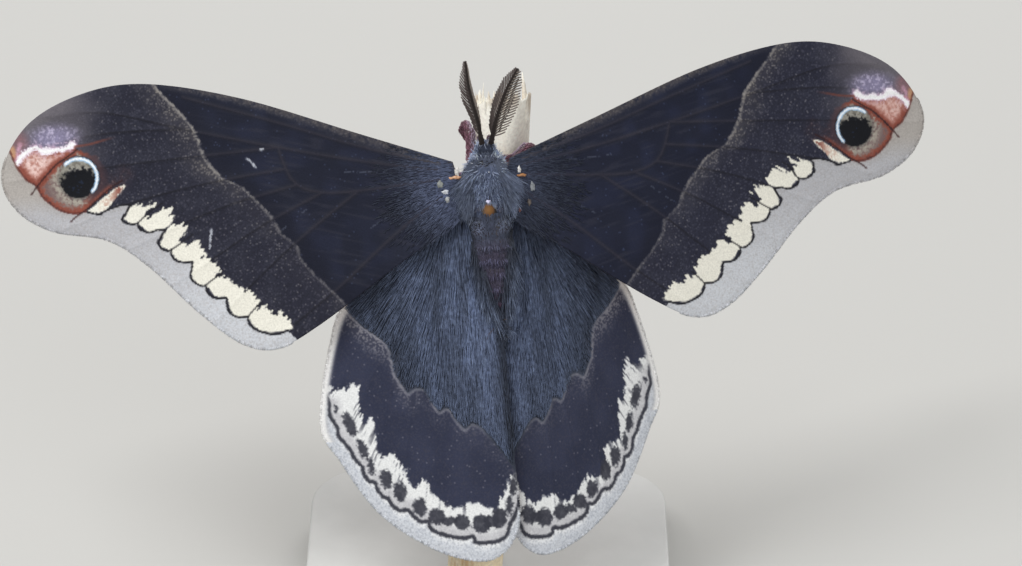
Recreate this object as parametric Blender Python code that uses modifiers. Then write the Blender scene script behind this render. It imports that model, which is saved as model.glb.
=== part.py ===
"""Promethea silkmoth, male, life size, resting with its wings spread on a peeled stick.

The stick is a short cut length, held by a plain stand: a flat base and two rods.
Origin: the middle of the base's underside. +Z is up and -Y is the front.
The moth has its own frame, on an empty: x to its right, y towards its head, z out of its back.
Sizes are written in millimetres and turned to metres where a mesh is made.
"""

import math
import random

import bmesh
import bpy
import numpy as np
from mathutils import Vector
from mathutils.geometry import delaunay_2d_cdt

MM = 0.001
GAP = 0.3  # clear space between pieces that touch
WELD = 1e-7  # metres

# Where the moth and its stick are held
SLOPE = math.radians(60)  # of the stick, from level
THORAX_PLACE = (0.0, 7.0, 44.0)  # middle of the thorax, from the middle of the base's underside
MOTH_TURN = math.radians(4)  # the moth sits turned to its left on the stick
STICK_LEAN = math.radians(3.5)  # and the stick leans to the right

# Thorax: a core half buried in locks of hair, which lie back from the head
THORAX_HALF = (2.75, 3.5, 2.7)
THORAX_MIDDLE = (0.0, -0.55, 0.0)
LOCK_WIDTH = 1.5
LOCK_THICKNESS = 0.6
LOCK_SUNK = 0.4
BACK_ROWS = [1.9, 0.75, -0.45, -1.65, -2.75]  # y of the roots of each row of locks
REAR_ROWS_FROM = 3  # these rows lie level over the abdomen's base
BACK_ROW_SPREAD = math.radians(76)  # each row covers this angle across the back
LOCKS_IN_ROW = 5
BACK_LOCK_LENGTH = (1.5, 2.1)  # of the first row and of the last
SHOULDER_LOCKS = 3  # the longer tuft over each forewing's root
SHOULDER_LENGTH = 3.3
COLLAR_LOCKS = 6
COLLAR_LENGTH = 1.15

# Head, tucked under the front of the thorax
HEAD_HALF = (1.0, 1.0, 1.2)
HEAD_MIDDLE = (0.05, 3.05, -0.3)
EYE_RADIUS = 0.65
EYE_SPREAD = 0.75
EYE_DROP = 0.9
PALP_LENGTH = 1.1

# Abdomen
ABDOMEN_HALF = (2.4, 5.9, 2.05)
ABDOMEN_MIDDLE = (0.15, -7.7, -0.3)
ABDOMEN_TAPER = 0.12
ABDOMEN_SEGMENTS = 7
ABDOMEN_GROOVE = 0.07  # depth of the grooves between segments, as a share of the half width

# Wings. Outlines and veins are given by u outward from the root and v towards the head.
MEMBRANE = 0.5
VEIN_HEIGHT = 1.0  # through membrane and ridges
VEIN_HALF_WIDTH = 0.5
OUTLINE_SPACING = 1.7
VEIN_SPACING = 2.2
MEMBRANE_GRID = 3.2
FORE_OUTLINE = [
    (0.2, 1.3), (9.0, 4.6), (20.5, 8.9), (30.0, 11.0), (36.5, 10.4), (41.8, 7.9), (44.6, 3.6),
    (43.5, 0.0), (40.0, -2.4), (34.5, -3.7), (30.5, -6.5), (25.9, -11.2), (22.0, -14.4),
    (18.5, -15.2), (14.2, -13.3), (6.0, -8.0), (-0.6, -3.6),
]
FORE_VEINS = {
    "subcosta": [(1.5, 1.2), (9.0, 3.4), (17.0, 6.3), (26.0, 9.4)],
    "radius": [(1.5, 0.6), (9.0, 2.0), (17.0, 3.9), (26.0, 6.3), (34.0, 8.5), (39.8, 8.6)],
    "radial_branch": [(26.0, 6.3), (34.0, 6.5), (42.6, 5.6)],
    "medial_1": [(17.0, 3.9), (26.0, 3.6), (35.0, 3.2), (43.9, 2.6)],
    "medial_2": [(16.4, 1.8), (24.0, 1.0), (32.0, -0.4), (39.0, -2.4)],
    "medial_3": [(15.4, 0.2), (22.0, -1.2), (28.0, -3.1), (32.2, -4.7)],
    "cubital_1": [(13.0, -0.7), (19.0, -3.4), (24.0, -6.2), (28.2, -8.4)],
    "cubital_2": [(9.5, -0.8), (15.0, -4.6), (20.0, -8.6), (24.2, -12.2)],
    "cell_rear": [(1.5, -0.3), (9.5, -0.8), (13.0, -0.7), (15.4, 0.2), (16.4, 1.8), (17.0, 3.9)],
    "anal": [(1.5, -1.9), (6.5, -5.4), (12.5, -10.2), (18.6, -14.4)],
}
HIND_OUTLINE = [
    (-0.6, 1.6), (6.5, -2.4), (12.4, -7.0), (14.4, -11.2), (15.9, -18.7), (14.2, -22.3),
    (10.5, -27.7), (5.0, -31.5), (0.2, -32.6), (-2.4, -30.4), (-2.9, -26.5), (-2.5, -18.0),
    (-2.3, -9.0), (-1.9, -2.5), (-1.7, 0.6),
]
HIND_VEINS = {
    "subcosta": [(2.0, -1.0), (7.0, -6.0), (11.8, -11.5), (14.9, -18.0)],
    "radius": [(2.0, -2.4), (5.4, -6.6), (9.4, -12.6), (12.4, -18.4), (13.8, -22.0)],
    "medial_1": [(5.4, -6.6), (7.8, -13.2), (9.9, -20.0), (10.9, -26.4)],
    "medial_2": [(4.6, -8.4), (6.2, -14.8), (7.6, -21.6), (8.1, -28.8)],
    "medial_3": [(3.6, -9.2), (4.3, -16.0), (4.9, -23.4), (5.1, -30.8)],
    "cubital_1": [(2.4, -8.6), (2.3, -15.8), (2.2, -23.6), (2.0, -31.6)],
    "cubital_2": [(1.5, -6.2), (0.5, -14.6), (-0.3, -23.0), (-0.8, -31.2)],
    "cell": [(0.9, -2.8), (1.5, -6.2), (2.4, -8.6), (3.6, -9.2), (4.6, -8.4), (5.4, -6.6)],
}
# How each wing hangs: its root's place, and the angles in degrees by which it droops, twists
# along its length and turns in its own plane. Arch is its upward bow in millimetres.
FORE_LEFT = {"side": -1, "root": (2.9, 0.9, 1.2), "droop": 10, "twist": 0, "turn": 0, "arch": 0.9}
FORE_RIGHT = {"side": 1, "root": (2.1, 0.9, 1.2), "droop": 22, "twist": 9, "turn": 0, "arch": 0.6}
HIND_LEFT = {"side": -1, "root": (2.0, -3.2, 0.1), "droop": 12, "twist": 0, "turn": 0, "arch": 0.5}
HIND_RIGHT = {"side": 1, "root": (1.5, -3.2, -1.6), "droop": 34, "twist": 0, "turn": 2.5, "arch": 0.5}
TWIST_REACH = 16.0  # the twist grows from the root to here
INNER_DIP = 0.08  # how fast the hindwings' inner edges curve down beside the body, per millimetre

# Antennae: a shaft with two rows of comb teeth, which hang from it like a ridge roof
LEFT_SHAFT = [(-0.22, 4.15, 0.78), (-0.45, 5.8, 2.2), (-0.8, 7.5, 3.7), (-1.08, 9.2, 5.1), (-1.2, 11.3, 6.5)]
RIGHT_SHAFT = [(0.72, 4.12, 0.78), (1.2, 5.6, 2.2), (1.82, 7.2, 3.6), (2.62, 8.8, 5.0), (3.6, 10.3, 6.3)]
LEFT_ROWS = ((-0.62, -0.30, -0.70), (0.22, 0.10, -1.0))
RIGHT_ROWS = ((-0.36, 0.10, -0.92), (0.86, -0.28, -0.38))
SHAFT_RADIUS = (0.36, 0.26)  # at the root and at the tip
TEETH = 12
TOOTH_LENGTH = 1.75
TOOTH_WIDTH = (0.56, 0.4)
TOOTH_STAGGER = 0.37  # of one row against the other, as a share of the spacing
TOOTH_SWEEP = 0.45  # how far a tooth leans towards the antenna's tip, as a share of its length

# Legs: hip, knee, ankle and foot, round the sides of the stick
LEGS = {
    "leg_fore_left": [(-1.2, 2.3, -3.0), (-1.75, 3.3, -3.4), (-1.45, 4.7, -3.8), (-1.5, 6.1, -4.4),
                      (-1.75, 6.5, -5.6), (-1.7, 5.6, -6.9)],
    "leg_fore_right": [(1.6, 2.1, -3.0), (2.6, 2.4, -3.1), (3.5, 2.7, -3.4), (4.3, 3.2, -4.1),
                       (4.95, 3.1, -5.5), (4.95, 2.6, -6.9)],
    "leg_mid_left": [(-2.0, 0.4, -3.0), (-3.4, 1.4, -3.8), (-4.3, 1.5, -4.8), (-3.4, 0.9, -6.2),
                     (-2.6, 1.0, -7.8)],
    "leg_mid_right": [(2.2, 0.2, -3.0), (3.9, 0.2, -3.7), (4.9, 0.0, -4.9), (4.8, -0.4, -6.4),
                      (4.4, 0.4, -8.0)],
    "leg_hind_left": [(-1.9, -2.2, -2.8), (-3.4, -2.9, -3.8), (-4.2, -3.7, -4.9), (-3.6, -4.8, -6.3),
                      (-3.1, -5.4, -7.9)],
    "leg_hind_right": [(1.7, -1.9, -3.0), (3.1, -3.0, -4.4), (3.9, -4.2, -5.5), (4.1, -5.2, -6.9),
                       (3.8, -5.8, -8.1)],
}
LEG_RADIUS = (0.46, 0.38, 0.46, 0.28)  # hip, shin, ankle with its tuft, foot

# Stick
STICK_RADIUS = 2.6
STICK_DEPTH = 6.5  # axis below the wing plane
STICK_X = 1.0  # axis beside the thorax
STICK_TOP = 8.4
STICK_FOOT = -38.0
STICK_SIDES = 24
STICK_RINGS = 10
SPLINTERS = {2: 1.2, 3: 0.6, 6: 2.3, 7: 0.7, 11: 1.1, 12: 0.4, 15: 0.9, 19: 1.6, 22: 0.8}  # side: height

# Stand
BASE_SIZE = (36.0, 38.0, 4.0)
BASE_EDGE = 1.0
BASE_CORNER = 6.0
ROD_RADIUS = 1.3
ROD_FRONT_Y = -2.0
ROD_BACK_Y = 6.5


def clear_scene():
    for thing in list(bpy.data.objects):
        bpy.data.objects.remove(thing, do_unlink=True)


def collection(name):
    made = bpy.data.collections.new(name)
    bpy.context.scene.collection.children.link(made)
    return made


def empty(name, parent, rotation, place=(0, 0, 0)):
    made = bpy.data.objects.new(name, None)
    solids.objects.link(made)
    made.parent = parent
    made.location = Vector(place) * MM
    made.rotation_euler = rotation
    return made


def paint(name, colour, roughness):
    """A Principled material with a plain colour."""
    material = bpy.data.materials.new(name)
    material.use_nodes = True
    shader = material.node_tree.nodes["Principled BSDF"]
    shader.inputs["Base Color"].default_value = (*colour, 1.0)
    shader.inputs["Roughness"].default_value = roughness
    shader.inputs["Metallic"].default_value = 0.0
    return material


def object_from(bm, name, where, parent, material=None):
    """A mesh object of triangles from a bmesh in millimetres."""
    bmesh.ops.scale(bm, vec=(MM, MM, MM), verts=bm.verts)
    bmesh.ops.triangulate(bm, faces=bm.faces)
    bmesh.ops.recalc_face_normals(bm, faces=bm.faces)
    mesh = bpy.data.meshes.new(name)
    bm.to_mesh(mesh)
    bm.free()
    made = bpy.data.objects.new(name, mesh)
    where.objects.link(made)
    made.parent = parent
    if material:
        mesh.materials.append(material)
    mesh.shade_smooth()
    return made


def cutter_from(bm, name, parent):
    made = object_from(bm, name, cutters, parent)
    made.hide_render = True
    made.display_type = "WIRE"
    return made


def shell_size(shell):
    return float(np.ptp([v.co for face in shell for v in face.verts], axis=0).sum())


def keep_largest(bm):
    """Drops every surface but the largest, as told by faces that share an edge."""
    left = set(bm.faces)
    shells = []
    while left:
        shell, rim = set(), {left.pop()}
        while rim:
            shell |= rim
            rim = {near for face in rim for e in face.edges for near in e.link_faces} - shell
        left -= shell
        shells.append(shell)
    biggest = max(shells, key=shell_size)
    loose = [face for shell in shells if shell is not biggest for face in shell]
    bmesh.ops.delete(bm, geom=loose, context="FACES")


def as_mesh(source):
    """Turns a curve, or a piece with modifiers, into a plain mesh of the same name and place."""
    is_curve = source.type == "CURVE"
    bpy.context.view_layer.update()
    graph = bpy.context.evaluated_depsgraph_get()
    mesh = bpy.data.meshes.new_from_object(source.evaluated_get(graph))
    bm = bmesh.new()
    bm.from_mesh(mesh)
    if is_curve:
        bmesh.ops.remove_doubles(bm, verts=bm.verts, dist=WELD)
    keep_largest(bm)
    bm.to_mesh(mesh)
    bm.free()
    name, parent, place = source.name, source.parent, source.matrix_basis.copy()
    where = source.users_collection[0]
    hidden, display = source.hide_render, source.display_type
    bpy.data.objects.remove(source)
    made = bpy.data.objects.new(name, mesh)
    where.objects.link(made)
    made.parent = parent
    made.matrix_basis = place
    made.hide_render, made.display_type = hidden, display
    return made


def boolean(piece, operation, other, solver="EXACT"):
    """Joins or cuts the piece by an object, or by all in a collection."""
    modifier = piece.modifiers.new(operation.lower(), "BOOLEAN")
    modifier.operation = operation
    modifier.solver = solver
    if isinstance(other, bpy.types.Collection):
        modifier.operand_type = "COLLECTION"
        modifier.collection = other
    else:
        modifier.object = other


def fuse(core, pieces):
    """One closed body from the core and its pieces."""
    group = collection("fused into " + core.name)
    for piece in pieces:
        for old in list(piece.users_collection):
            old.objects.unlink(piece)
        group.objects.link(piece)
    boolean(core, "UNION", group, "MANIFOLD")
    made = as_mesh(core)
    for piece in pieces:
        bpy.data.objects.remove(piece)
    bpy.data.collections.remove(group)
    return made


def smooth_line(points, spacing):
    """Points about `spacing` apart on a smooth curve through the given ones."""
    p = [Vector(q) for q in points]
    slopes = [p[1] - p[0]]
    slopes += [(b - a) / 2 for a, b in zip(p[:-2], p[2:])]
    slopes += [p[-1] - p[-2]]
    line = []
    for i in range(len(p) - 1):
        steps = max(1, round((p[i + 1] - p[i]).length / spacing))
        for k in range(steps):
            t = k / steps
            line.append(
                p[i] * (2 * t**3 - 3 * t**2 + 1)
                + slopes[i] * (t**3 - 2 * t**2 + t)
                + p[i + 1] * (3 * t**2 - 2 * t**3)
                + slopes[i + 1] * (t**3 - t**2)
            )
    return line + [p[-1]]


def between(low, high, share):
    return low + (high - low) * share


def rise(t):
    """0 to 1 with soft ends, for t from 0 to 1."""
    t = min(max(t, 0.0), 1.0)
    return t * t * (3 - 2 * t)


def ball(half, middle, rings=10, sides=14):
    """A bmesh ellipsoid whose poles lie along y."""
    bm = bmesh.new()
    bmesh.ops.create_uvsphere(bm, u_segments=sides, v_segments=rings, radius=1.0)
    for v in bm.verts:
        x, y, z = v.co
        v.co = (middle[0] + half[0] * x, middle[1] + half[1] * z, middle[2] + half[2] * y)
    return bm


def grown(half, by=GAP):
    return tuple(h + by for h in half)


def loft(rings):
    """A closed bmesh through rings of points, capped at both ends."""
    bm = bmesh.new()
    rows = [[bm.verts.new(p) for p in ring] for ring in rings]
    count = len(rows[0])
    for a, b in zip(rows[:-1], rows[1:]):
        for k in range(count):
            bm.faces.new((a[k], a[(k + 1) % count], b[(k + 1) % count], b[k]))
    bm.faces.new(rows[0])
    bm.faces.new(rows[-1])
    return bm


def blade(route, widths, thicknesses, face):
    """A flat tapered lock or tooth of four sides along a route; `face` is the way its flat looks."""
    rings = []
    for i, p in enumerate(route):
        ahead = (route[min(i + 1, len(route) - 1)] - route[max(i - 1, 0)]).normalized()
        across = ahead.cross(face).normalized()
        out = across.cross(ahead).normalized()
        w, t = across * widths[i] / 2, out * thicknesses[i] / 2
        rings.append([p - w, p - t, p + w, p + t])
    return loft(rings)


def lock(root, lie, out, length, width=LOCK_WIDTH):
    """A lock of hair rooted below `root`, lying along `lie` over a surface that faces `out`."""
    lie = (lie - out * lie.dot(out)).normalized()
    route = [
        root - out * LOCK_SUNK,
        root + lie * length * 0.35 + out * 0.22,
        root + lie * length * 0.72 + out * 0.22,
        root + lie * length + out * 0.02,
    ]
    widths = [width * 0.7, width, width * 0.75, 0.28]
    thicknesses = [LOCK_THICKNESS, LOCK_THICKNESS, LOCK_THICKNESS * 0.8, 0.25]
    return blade(route, widths, thicknesses, out)


def on_thorax(y, angle, grow=0.0):
    """A place on the core at y, `angle` round from the middle of the back, and the way it faces."""
    half = grown(THORAX_HALF, grow)
    along = (y - THORAX_MIDDLE[1]) / half[1]
    girth = math.sqrt(max(0.0, 1 - along * along))
    place = Vector((half[0] * girth * math.sin(angle), y, half[2] * girth * math.cos(angle)))
    out = Vector((place.x / half[0] ** 2, along / half[1], place.z / half[2] ** 2)).normalized()
    return place, out


def make_thorax():
    core = object_from(ball(THORAX_HALF, THORAX_MIDDLE, 12, 18), "thorax", solids, moth, fur)
    draw = random.Random(11)
    locks = []
    for row, y in enumerate(BACK_ROWS):
        length = between(*BACK_LOCK_LENGTH, row / (len(BACK_ROWS) - 1))
        count = LOCKS_IN_ROW + row % 2
        for k in range(count):
            angle = between(-1, 1, k / (count - 1)) * BACK_ROW_SPREAD / 2 * (count / (LOCKS_IN_ROW + 1))
            root, out = on_thorax(y + draw.uniform(-0.12, 0.12), angle)
            if row >= REAR_ROWS_FROM:
                out = Vector((0.4 * math.sin(angle), 0.05, 1)).normalized()
            lie = Vector((0.35 * math.sin(angle) + draw.uniform(-0.08, 0.08), -1, 0))
            locks.append(lock(root, lie, out, length * draw.uniform(0.92, 1.1)))
    for side in (-1, 1):
        for k in range(SHOULDER_LOCKS):
            share = k / (SHOULDER_LOCKS - 1)
            root, out = on_thorax(between(1.6, 0.0, share), side * math.radians(between(32, 40, share)))
            out = Vector((-0.1 * side, 0.1, 1)).normalized()
            lie = Vector((side * between(0.62, 0.35, share), -1, draw.uniform(-0.05, 0.05)))
            locks.append(lock(root, lie, out, SHOULDER_LENGTH * between(1.0, 0.85, share)))
    for k in range(COLLAR_LOCKS):
        angle = math.radians(between(-50, 50, k / (COLLAR_LOCKS - 1)))
        root, out = on_thorax(1.9, angle)
        lie = Vector((0.5 * math.sin(angle) + draw.uniform(-0.08, 0.08), 1, 0.5))
        locks.append(lock(root, lie, out, COLLAR_LENGTH * draw.uniform(0.9, 1.1)))
    pieces = [object_from(bm, f"lock_{i:02d}", solids, moth) for i, bm in enumerate(locks)]
    return fuse(core, pieces)


def make_head(thorax_room):
    """The head with its two palps, and the eyes at its sides."""
    head = object_from(ball(HEAD_HALF, HEAD_MIDDLE), "head", solids, moth, fur)
    palps = []
    for side in (-1, 1):
        root = Vector(HEAD_MIDDLE) + Vector((side * 0.35, 0.75, -0.75))
        ahead = Vector((side * 0.1, 0.75, -0.6)).normalized()
        route = [root - ahead * 0.3, root + ahead * PALP_LENGTH * 0.5, root + ahead * PALP_LENGTH]
        palps.append(object_from(blade(route, (0.6, 0.6, 0.4), (0.6, 0.6, 0.4), Vector((0, 0.6, 0.75))),
                                 f"palp_{side}", solids, moth))
    head = fuse(head, palps)
    boolean(head, "DIFFERENCE", thorax_room)
    for side, word in ((-1, "left"), (1, "right")):
        middle = (HEAD_MIDDLE[0] + side * EYE_SPREAD, HEAD_MIDDLE[1], HEAD_MIDDLE[2] - EYE_DROP)
        room = cutter_from(ball((EYE_RADIUS + GAP,) * 3, middle), f"eye_room_{word}", moth)
        boolean(head, "DIFFERENCE", room)
        eye = object_from(ball((EYE_RADIUS,) * 3, middle), f"eye_{word}", solids, moth, eye_black)
        boolean(eye, "DIFFERENCE", thorax_room)
        as_mesh(eye)
    as_mesh(head)


def abdomen_form(grow=0.0):
    """The abdomen tapers back, with a shallow groove between its segments."""
    bm = ball(grown(ABDOMEN_HALF, grow), ABDOMEN_MIDDLE, 28, 14)
    for v in bm.verts:
        share = (v.co.y - ABDOMEN_MIDDLE[1]) / (ABDOMEN_HALF[1] + grow)
        groove = 0.0 if grow else 0.5 + 0.5 * math.cos(math.pi * ABDOMEN_SEGMENTS * (share + 1))
        girth = (1 - ABDOMEN_GROOVE * groove) * (1 + ABDOMEN_TAPER * share)
        v.co.x = ABDOMEN_MIDDLE[0] + (v.co.x - ABDOMEN_MIDDLE[0]) * girth
        v.co.z = ABDOMEN_MIDDLE[2] + (v.co.z - ABDOMEN_MIDDLE[2]) * girth
    return bm


def wing_surface(u, v, hang, length):
    """The place in the moth's frame of a wing's point u outward and v forward of its root."""
    turn = math.radians(hang["turn"])
    u, v = u * math.cos(turn) - v * math.sin(turn), u * math.sin(turn) + v * math.cos(turn)
    droop = math.radians(hang["droop"])
    twist = math.radians(hang["twist"]) * rise(u / TWIST_REACH)
    out = (u + math.sqrt(u * u + 1.0)) / 2
    arch = hang["arch"] * math.sin(math.pi * min(max(u / length, 0.0), 1.0))
    dip = INNER_DIP * min(u, 0.0) ** 2
    x = hang["root"][0] + u - out * (1 - math.cos(droop))
    y = hang["root"][1] + v * math.cos(twist)
    z = hang["root"][2] - out * math.sin(droop) + v * math.sin(twist) + arch - dip
    return Vector((hang["side"] * x, y, z))


def inside(point, outline):
    """True where a 2D point lies in a closed outline."""
    x, y = point
    crossings = 0
    for a, b in zip(outline, outline[1:] + outline[:1]):
        if (a[1] > y) != (b[1] > y) and x < a[0] + (y - a[1]) * (b[0] - a[0]) / (b[1] - a[1]):
            crossings += 1
    return crossings % 2 == 1


def nearest(point, others):
    return min((math.dist(point, q) for q in others), default=math.inf)


def distance_to_lines(point, lines):
    """How far a 2D point is from the nearest of some lines of points."""
    p = np.array(point)
    best = math.inf
    for line in lines:
        a, b = np.array(line[:-1]), np.array(line[1:])
        along = np.clip(((p - a) * (b - a)).sum(1) / ((b - a) ** 2).sum(1), 0, 1)
        best = min(best, float(np.hypot(*(a + (b - a) * along[:, None] - p).T).min()))
    return best


def membrane_points(outline, veins):
    """The flat points of a wing, with the edges that its triangles keep: its rim and its veins."""
    points = list(outline)
    edges = [(i, (i + 1) % len(outline)) for i in range(len(outline))]
    for line in veins:
        start = len(points)
        points += line
        edges += [(start + i, start + i + 1) for i in range(len(line) - 1)]
    crests = points[len(outline):]
    flanks = []
    for line in veins:
        for a, b in zip(line[:-1], line[1:]):
            ahead = (Vector(b) - Vector(a)).normalized()
            for sign in (-1, 1):
                side = (Vector(a) + Vector(b)) / 2 + Vector((-ahead.y, ahead.x)) * sign * VEIN_HALF_WIDTH
                if (
                    distance_to_lines(side, veins) > VEIN_HALF_WIDTH * 0.9
                    and nearest(side, flanks) > VEIN_HALF_WIDTH * 0.8
                    and inside(side, outline)
                    and nearest(side, outline) > VEIN_HALF_WIDTH
                ):
                    flanks.append(tuple(side))
    points += flanks
    taken = crests + flanks + outline
    low_v, high_v = min(v for _, v in outline), max(v for _, v in outline)
    low_u, high_u = min(u for u, _ in outline), max(u for u, _ in outline)
    rows = int((high_v - low_v) / (MEMBRANE_GRID * 0.87)) + 1
    columns = int((high_u - low_u) / MEMBRANE_GRID) + 1
    for row in range(rows):
        for column in range(columns):
            spot = (low_u + (column + row % 2 / 2) * MEMBRANE_GRID, low_v + row * MEMBRANE_GRID * 0.87)
            if inside(spot, outline) and nearest(spot, taken) > MEMBRANE_GRID * 0.42:
                points.append(spot)
    return points, edges


def make_wing(name, outline_points, vein_routes, hang):
    """A thin curved membrane with raised veins, split into triangles alike on both faces."""
    outline = [tuple(p) for p in smooth_line(outline_points, OUTLINE_SPACING)]
    length = max(u for u, _ in outline)
    veins = [[tuple(p) for p in smooth_line(route, VEIN_SPACING)] for route in vein_routes.values()]
    points, edges = membrane_points(outline, veins)
    flat, _, faces, *_ = delaunay_2d_cdt([Vector(p) for p in points], edges, [], 1, 1e-3)
    bm = bmesh.new()
    verts = [bm.verts.new(wing_surface(p.x, p.y, hang, length)) for p in flat]
    for face in faces:
        bm.faces.new([verts[i] for i in face])
    wing = object_from(bm, name, solids, moth, wing_scales)
    thickness = wing.vertex_groups.new(name="thickness")
    for i, p in enumerate(flat):
        ridge = max(0.0, 1 - distance_to_lines(p, veins) / VEIN_HALF_WIDTH)
        thickness.add([i], between(MEMBRANE, VEIN_HEIGHT, ridge) / VEIN_HEIGHT, "REPLACE")
    shell = wing.modifiers.new("membrane", "SOLIDIFY")
    shell.thickness = VEIN_HEIGHT * MM
    shell.offset = 0.0
    shell.vertex_group = "thickness"
    shell.thickness_vertex_group = 0.0
    return wing


def tube(name, points, radii, where, parent, material, resolution=2):
    """A tube through the points, with its own radius at each."""
    curve = bpy.data.curves.new(name, "CURVE")
    curve.dimensions = "3D"
    curve.bevel_depth = MM
    curve.bevel_resolution = resolution
    curve.use_fill_caps = True
    curve.materials.append(material)
    spline = curve.splines.new("POLY")
    spline.points.add(len(points) - 1)
    for point, place, radius in zip(spline.points, points, radii):
        point.co = (*(Vector(place) * MM), 1.0)
        point.radius = radius
    made = bpy.data.objects.new(name, curve)
    where.objects.link(made)
    made.parent = parent
    return as_mesh(made)


def make_antenna(name, route, rows):
    """A tapered shaft with its teeth, longest in the middle of its length."""
    line = smooth_line(route, 0.7)
    radii = [between(*SHAFT_RADIUS, i / (len(line) - 1)) for i in range(len(line))]
    shaft = tube(name, line, radii, solids, moth, antenna_brown)
    teeth = []
    for k in range(TEETH):
        for row, direction in enumerate(rows):
            share = (k + 0.55 + row * TOOTH_STAGGER) / TEETH
            place = share * (len(line) - 1)
            i = min(int(place), len(line) - 2)
            root = line[i].lerp(line[i + 1], place - i)
            ahead = (line[i + 1] - line[i]).normalized()
            length = TOOTH_LENGTH * math.sin(math.pi * between(0.2, 0.86, share)) ** 0.8
            out = Vector(direction).normalized()
            out = (out - ahead * out.dot(ahead)).normalized()
            reach = [0.0, 0.55, 1.0]
            tooth = [root + out * length * r + ahead * length * TOOTH_SWEEP * r * r for r in reach]
            widths = [TOOTH_WIDTH[0], TOOTH_WIDTH[0], TOOTH_WIDTH[1]]
            bm = blade(tooth, widths, widths, out.cross(ahead))
            teeth.append(object_from(bm, f"{name}_tooth_{row}_{k:02d}", solids, moth))
    return fuse(shaft, teeth)


def make_leg(name, route):
    line = smooth_line(route, 0.75)
    marks = np.linspace(0, 1, len(LEG_RADIUS))
    radii = [float(np.interp(i / (len(line) - 1), marks, LEG_RADIUS)) for i in range(len(line))]
    return tube(name, line, radii, solids, moth, leg_pink)


def stick_axis(y):
    """The place of the stick's axis in the slope's frame."""
    return Vector((STICK_X + y * math.tan(STICK_LEAN), y, -STICK_DEPTH))


def stick_rings(grow=0.0):
    """Rings up the stick, the last two of them its splintered, hollowed top."""
    rings = []
    for i in range(STICK_RINGS):
        share = i / (STICK_RINGS - 1)
        middle = stick_axis(between(STICK_FOOT - grow, STICK_TOP, share))
        ring = []
        for k in range(STICK_SIDES):
            angle = 2 * math.pi * k / STICK_SIDES
            knot = 0.12 * math.sin(2 * angle + 3 * share) + 0.1 * math.sin(5 * angle + 9 * share)
            radius = STICK_RADIUS + grow + knot
            tall = SPLINTERS.get(k, 0.0) if i == STICK_RINGS - 1 and not grow else 0.0
            ring.append(middle + Vector((radius * math.cos(angle), tall, radius * math.sin(angle))))
        rings.append(ring)
    middle = stick_axis(STICK_TOP - (0 if grow else 0.5))
    rings.append([middle + (p - middle) * 0.72 - Vector((0, (p - middle).y * 0.72, 0)) for p in rings[-1]])
    return rings


def make_base():
    bm = bmesh.new()
    bmesh.ops.create_cube(bm, size=1.0)
    bmesh.ops.scale(bm, vec=BASE_SIZE, verts=bm.verts)
    bmesh.ops.translate(bm, vec=(0, 0, BASE_SIZE[2] / 2), verts=bm.verts)
    upright = [e for e in bm.edges if abs(e.verts[0].co.z - e.verts[1].co.z) > BASE_SIZE[2] / 2]
    bmesh.ops.bevel(bm, geom=upright, offset=BASE_CORNER, segments=6, profile=0.5, affect="EDGES")
    base = object_from(bm, "stand_base", solids, None, stand_grey)
    edge = base.modifiers.new("edge", "BEVEL")
    edge.width = BASE_EDGE * MM
    edge.segments = 3
    edge.limit_method = "ANGLE"


def make_rod(word, y, stick_room):
    """An upright rod at y on the base, cut to the stick's underside."""
    along = (y - THORAX_PLACE[1] - STICK_DEPTH * math.sin(SLOPE)) / math.cos(SLOPE)
    top = THORAX_PLACE[2] + along * math.sin(SLOPE) - STICK_DEPTH * math.cos(SLOPE)
    x = stick_axis(along).x
    ends = [(x, y, BASE_SIZE[2] + GAP), (x, y, top)]
    rod = tube(f"stand_rod_{word}", ends, [ROD_RADIUS] * 2, solids, None, stand_grey, 6)
    boolean(rod, "DIFFERENCE", stick_room)
    as_mesh(rod)


clear_scene()
solids = collection("promethea_silkmoth")
cutters = collection("cutters")
slope = empty("slope", None, (SLOPE, 0, 0), THORAX_PLACE)
moth = empty("moth", slope, (0, 0, MOTH_TURN))

fur = paint("slate_fur", (0.062, 0.068, 0.095), 0.8)
wing_scales = paint("wing_scales", (0.030, 0.028, 0.035), 0.7)
abdomen_fur = paint("maroon_fur", (0.045, 0.030, 0.055), 0.8)
eye_black = paint("eye_black", (0.010, 0.008, 0.008), 0.15)
antenna_brown = paint("antenna_brown", (0.070, 0.052, 0.048), 0.6)
leg_pink = paint("leg_scales", (0.18, 0.07, 0.085), 0.7)
wood = paint("peeled_wood", (0.72, 0.58, 0.40), 0.6)
stand_grey = paint("stand_satin", (0.60, 0.60, 0.58), 0.45)

make_thorax()
thorax_room = cutter_from(ball(grown(THORAX_HALF), THORAX_MIDDLE, 12, 18), "thorax_room", moth)
make_head(thorax_room)
abdomen = object_from(abdomen_form(), "abdomen", solids, moth, abdomen_fur)
boolean(abdomen, "DIFFERENCE", thorax_room)
as_mesh(abdomen)
abdomen_room = cutter_from(abdomen_form(GAP), "abdomen_room", moth)

for word, hang in (("left", FORE_LEFT), ("right", FORE_RIGHT)):
    wing = make_wing(f"forewing_{word}", FORE_OUTLINE, FORE_VEINS, hang)
    boolean(wing, "DIFFERENCE", thorax_room)
    as_mesh(wing)
for word, hang in (("left", HIND_LEFT), ("right", HIND_RIGHT)):
    wing = make_wing(f"hindwing_{word}", HIND_OUTLINE, HIND_VEINS, hang)
    boolean(wing, "DIFFERENCE", thorax_room)
    boolean(wing, "DIFFERENCE", abdomen_room)
    as_mesh(wing)

make_antenna("antenna_left", LEFT_SHAFT, LEFT_ROWS)
make_antenna("antenna_right", RIGHT_SHAFT, RIGHT_ROWS)
for name, route in LEGS.items():
    make_leg(name, route)

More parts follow.
